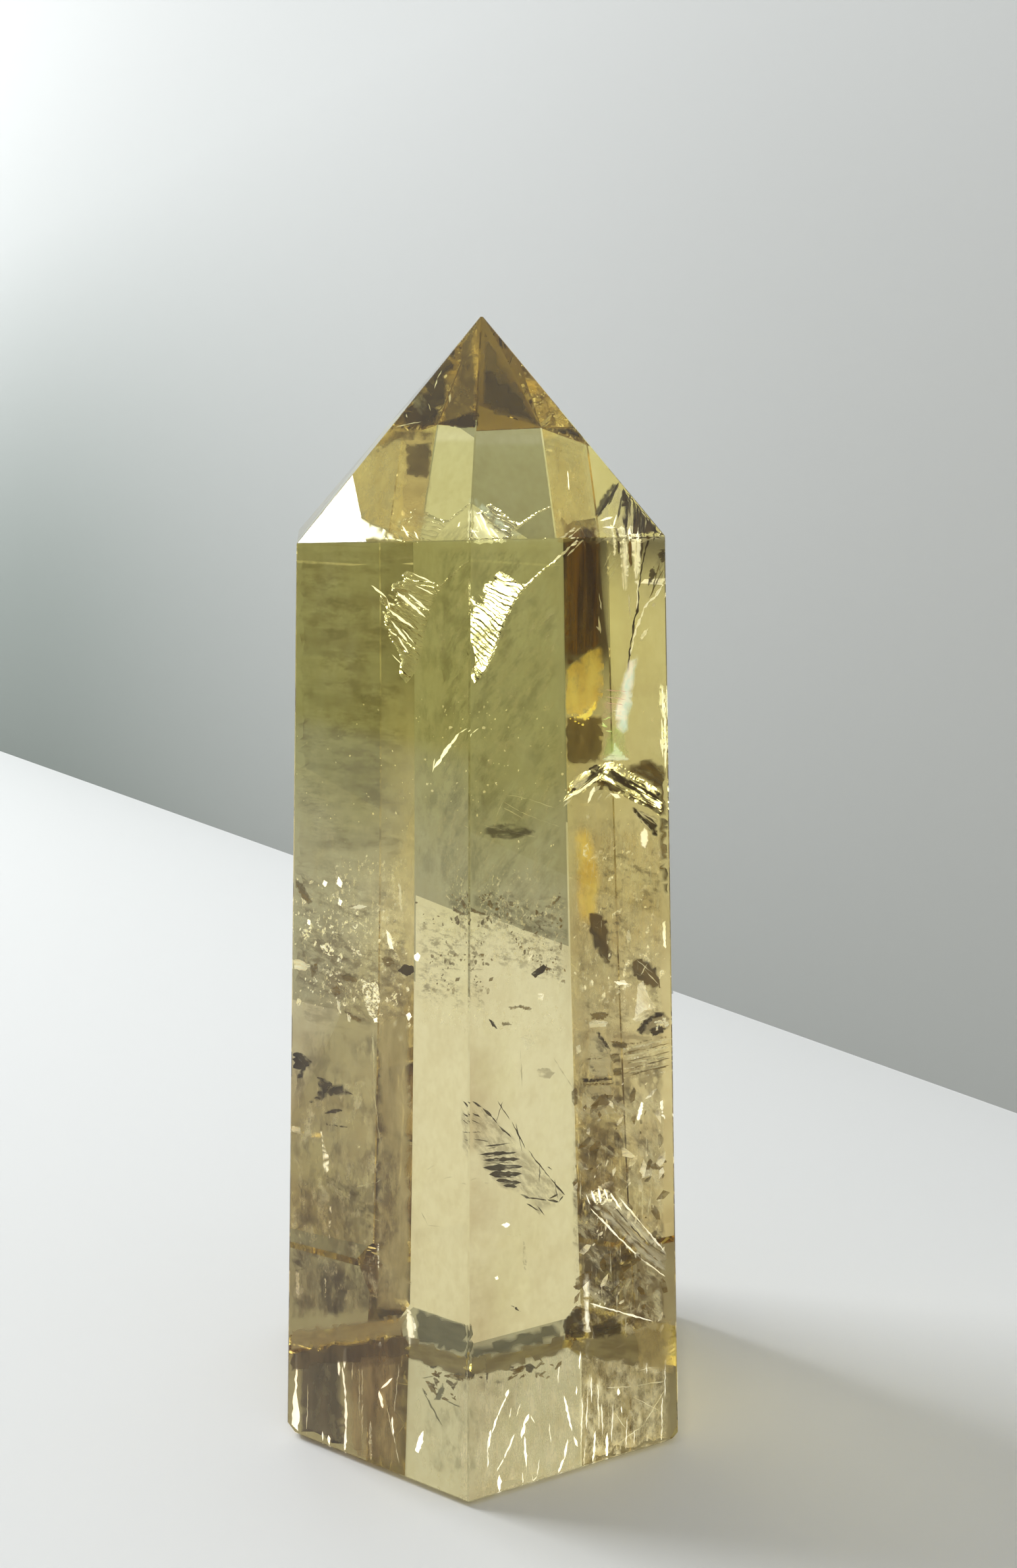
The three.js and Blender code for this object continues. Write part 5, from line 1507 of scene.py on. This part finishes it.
# clouds of specks: where they show, how deep they lie, how many there are and how large, how much longer than
# wide, which way they lean, how far they scatter from it, how tightly they clump, and their finish
specks = {
    "dust_fine_upper": {
        "corners": [(-20.7, 79.5), (19, 79.6), (19.3, 60.4), (-21.1, 60.3)], "depths": (6, 22),
        "count": 120, "size": (0.06, 0.2), "stretch": 1.3, "lean": (0, 0, 1), "scatter": 1, "clump": 0.2,
        "seed": 3, "finish": "speckcream",
    },
    "foot_debris_mid": {
        "corners": [(-8.5, 1.3), (-2.3, -0.9), (-2.3, -3.7), (-5.7, -4.9)], "depths": (1.2, 2), "count": 26,
        "size": (0.14, 0.5), "stretch": 2.2, "lean": (1, 0, -0.25), "scatter": 0.8, "clump": 0.3, "seed": 4,
        "finish": "umber",
    },
    "foot_debris_right": {
        "corners": [(-1.7, -0.9), (9.5, 2.8), (7.9, -0.6), (2.5, -0.8)], "depths": (1.2, 2), "count": 22,
        "size": (0.14, 0.5), "stretch": 2.2, "lean": (1, 0, 0.25), "scatter": 0.8, "clump": 0.3, "seed": 5,
        "finish": "umber",
    },
    "dust_crumbs_left": {
        "corners": [(-21.4, 59.5), (-8.4, 56.5), (-8.6, 42), (-21.8, 45)], "depths": (4, 9), "count": 150,
        "size": (0.1, 0.45), "stretch": 1.8, "lean": (0.4, 0, 1), "scatter": 0.7, "clump": 0.35, "seed": 6,
        "finish": "crumb",
    },
    "dust_crumbs_mid": {
        "corners": [(-8, 56.9), (-2.1, 55.1), (-2.1, 48.2), (-5.1, 44.3)], "depths": (4, 9), "count": 50,
        "size": (0.08, 0.32), "stretch": 1.8, "lean": (0.4, 0, 1), "scatter": 0.9, "clump": 0.3, "seed": 7,
        "finish": "umber",
    },
    "dust_crumbs_right": {
        "corners": [(-1.3, 58.1), (9.3, 55.1), (9.3, 46.7), (4.7, 50.5)], "depths": (3, 9), "count": 90,
        "size": (0.08, 0.34), "stretch": 1.8, "lean": (0.4, 0, 1), "scatter": 0.9, "clump": 0.3, "seed": 8,
        "finish": "umber",
    },
    "strip_crumbs": {
        "corners": [(9.9, 63.4), (19.9, 62.7), (20.2, 42.2), (10.1, 42.1)], "depths": (3, 9), "count": 120,
        "size": (0.1, 0.5), "stretch": 2.2, "lean": (0.3, 0, 1), "scatter": 0.6, "clump": 0.35, "seed": 9,
        "finish": "crumb",
    },
    "strip_crumbs_low": {
        "corners": [(10.2, 35.9), (20.3, 35.9), (20.9, 5.4), (10.4, 5.3)], "depths": (3, 9), "count": 120,
        "size": (0.1, 0.6), "stretch": 2.4, "lean": (0.3, 0, 1), "scatter": 0.6, "clump": 0.35, "seed": 10,
        "finish": "shard",
    },
    "strip_debris_low": {
        "corners": [(10.2, 35.9), (20.3, 35.9), (20.9, 5.4), (10.4, 5.3)], "depths": (3, 9), "count": 90,
        "size": (0.15, 0.9), "stretch": 2.4, "lean": (0.5, 0, 1), "scatter": 0.6, "clump": 0.35, "seed": 11,
        "finish": "umber",
    },
}
for name, look in specks.items():
    inner(name, speckMesh(name, look), flakeFinishes[look["finish"]])
print("specks made")

# clear stone needs many bounces
scene.view_settings.view_transform = "Standard"
scene.cycles.max_bounces = 32
scene.cycles.transmission_bounces = 32
scene.cycles.glossy_bounces = 16
scene.cycles.transparent_max_bounces = 32
scene.cycles.diffuse_bounces = 4
scene.cycles.blur_glossy = 0.5
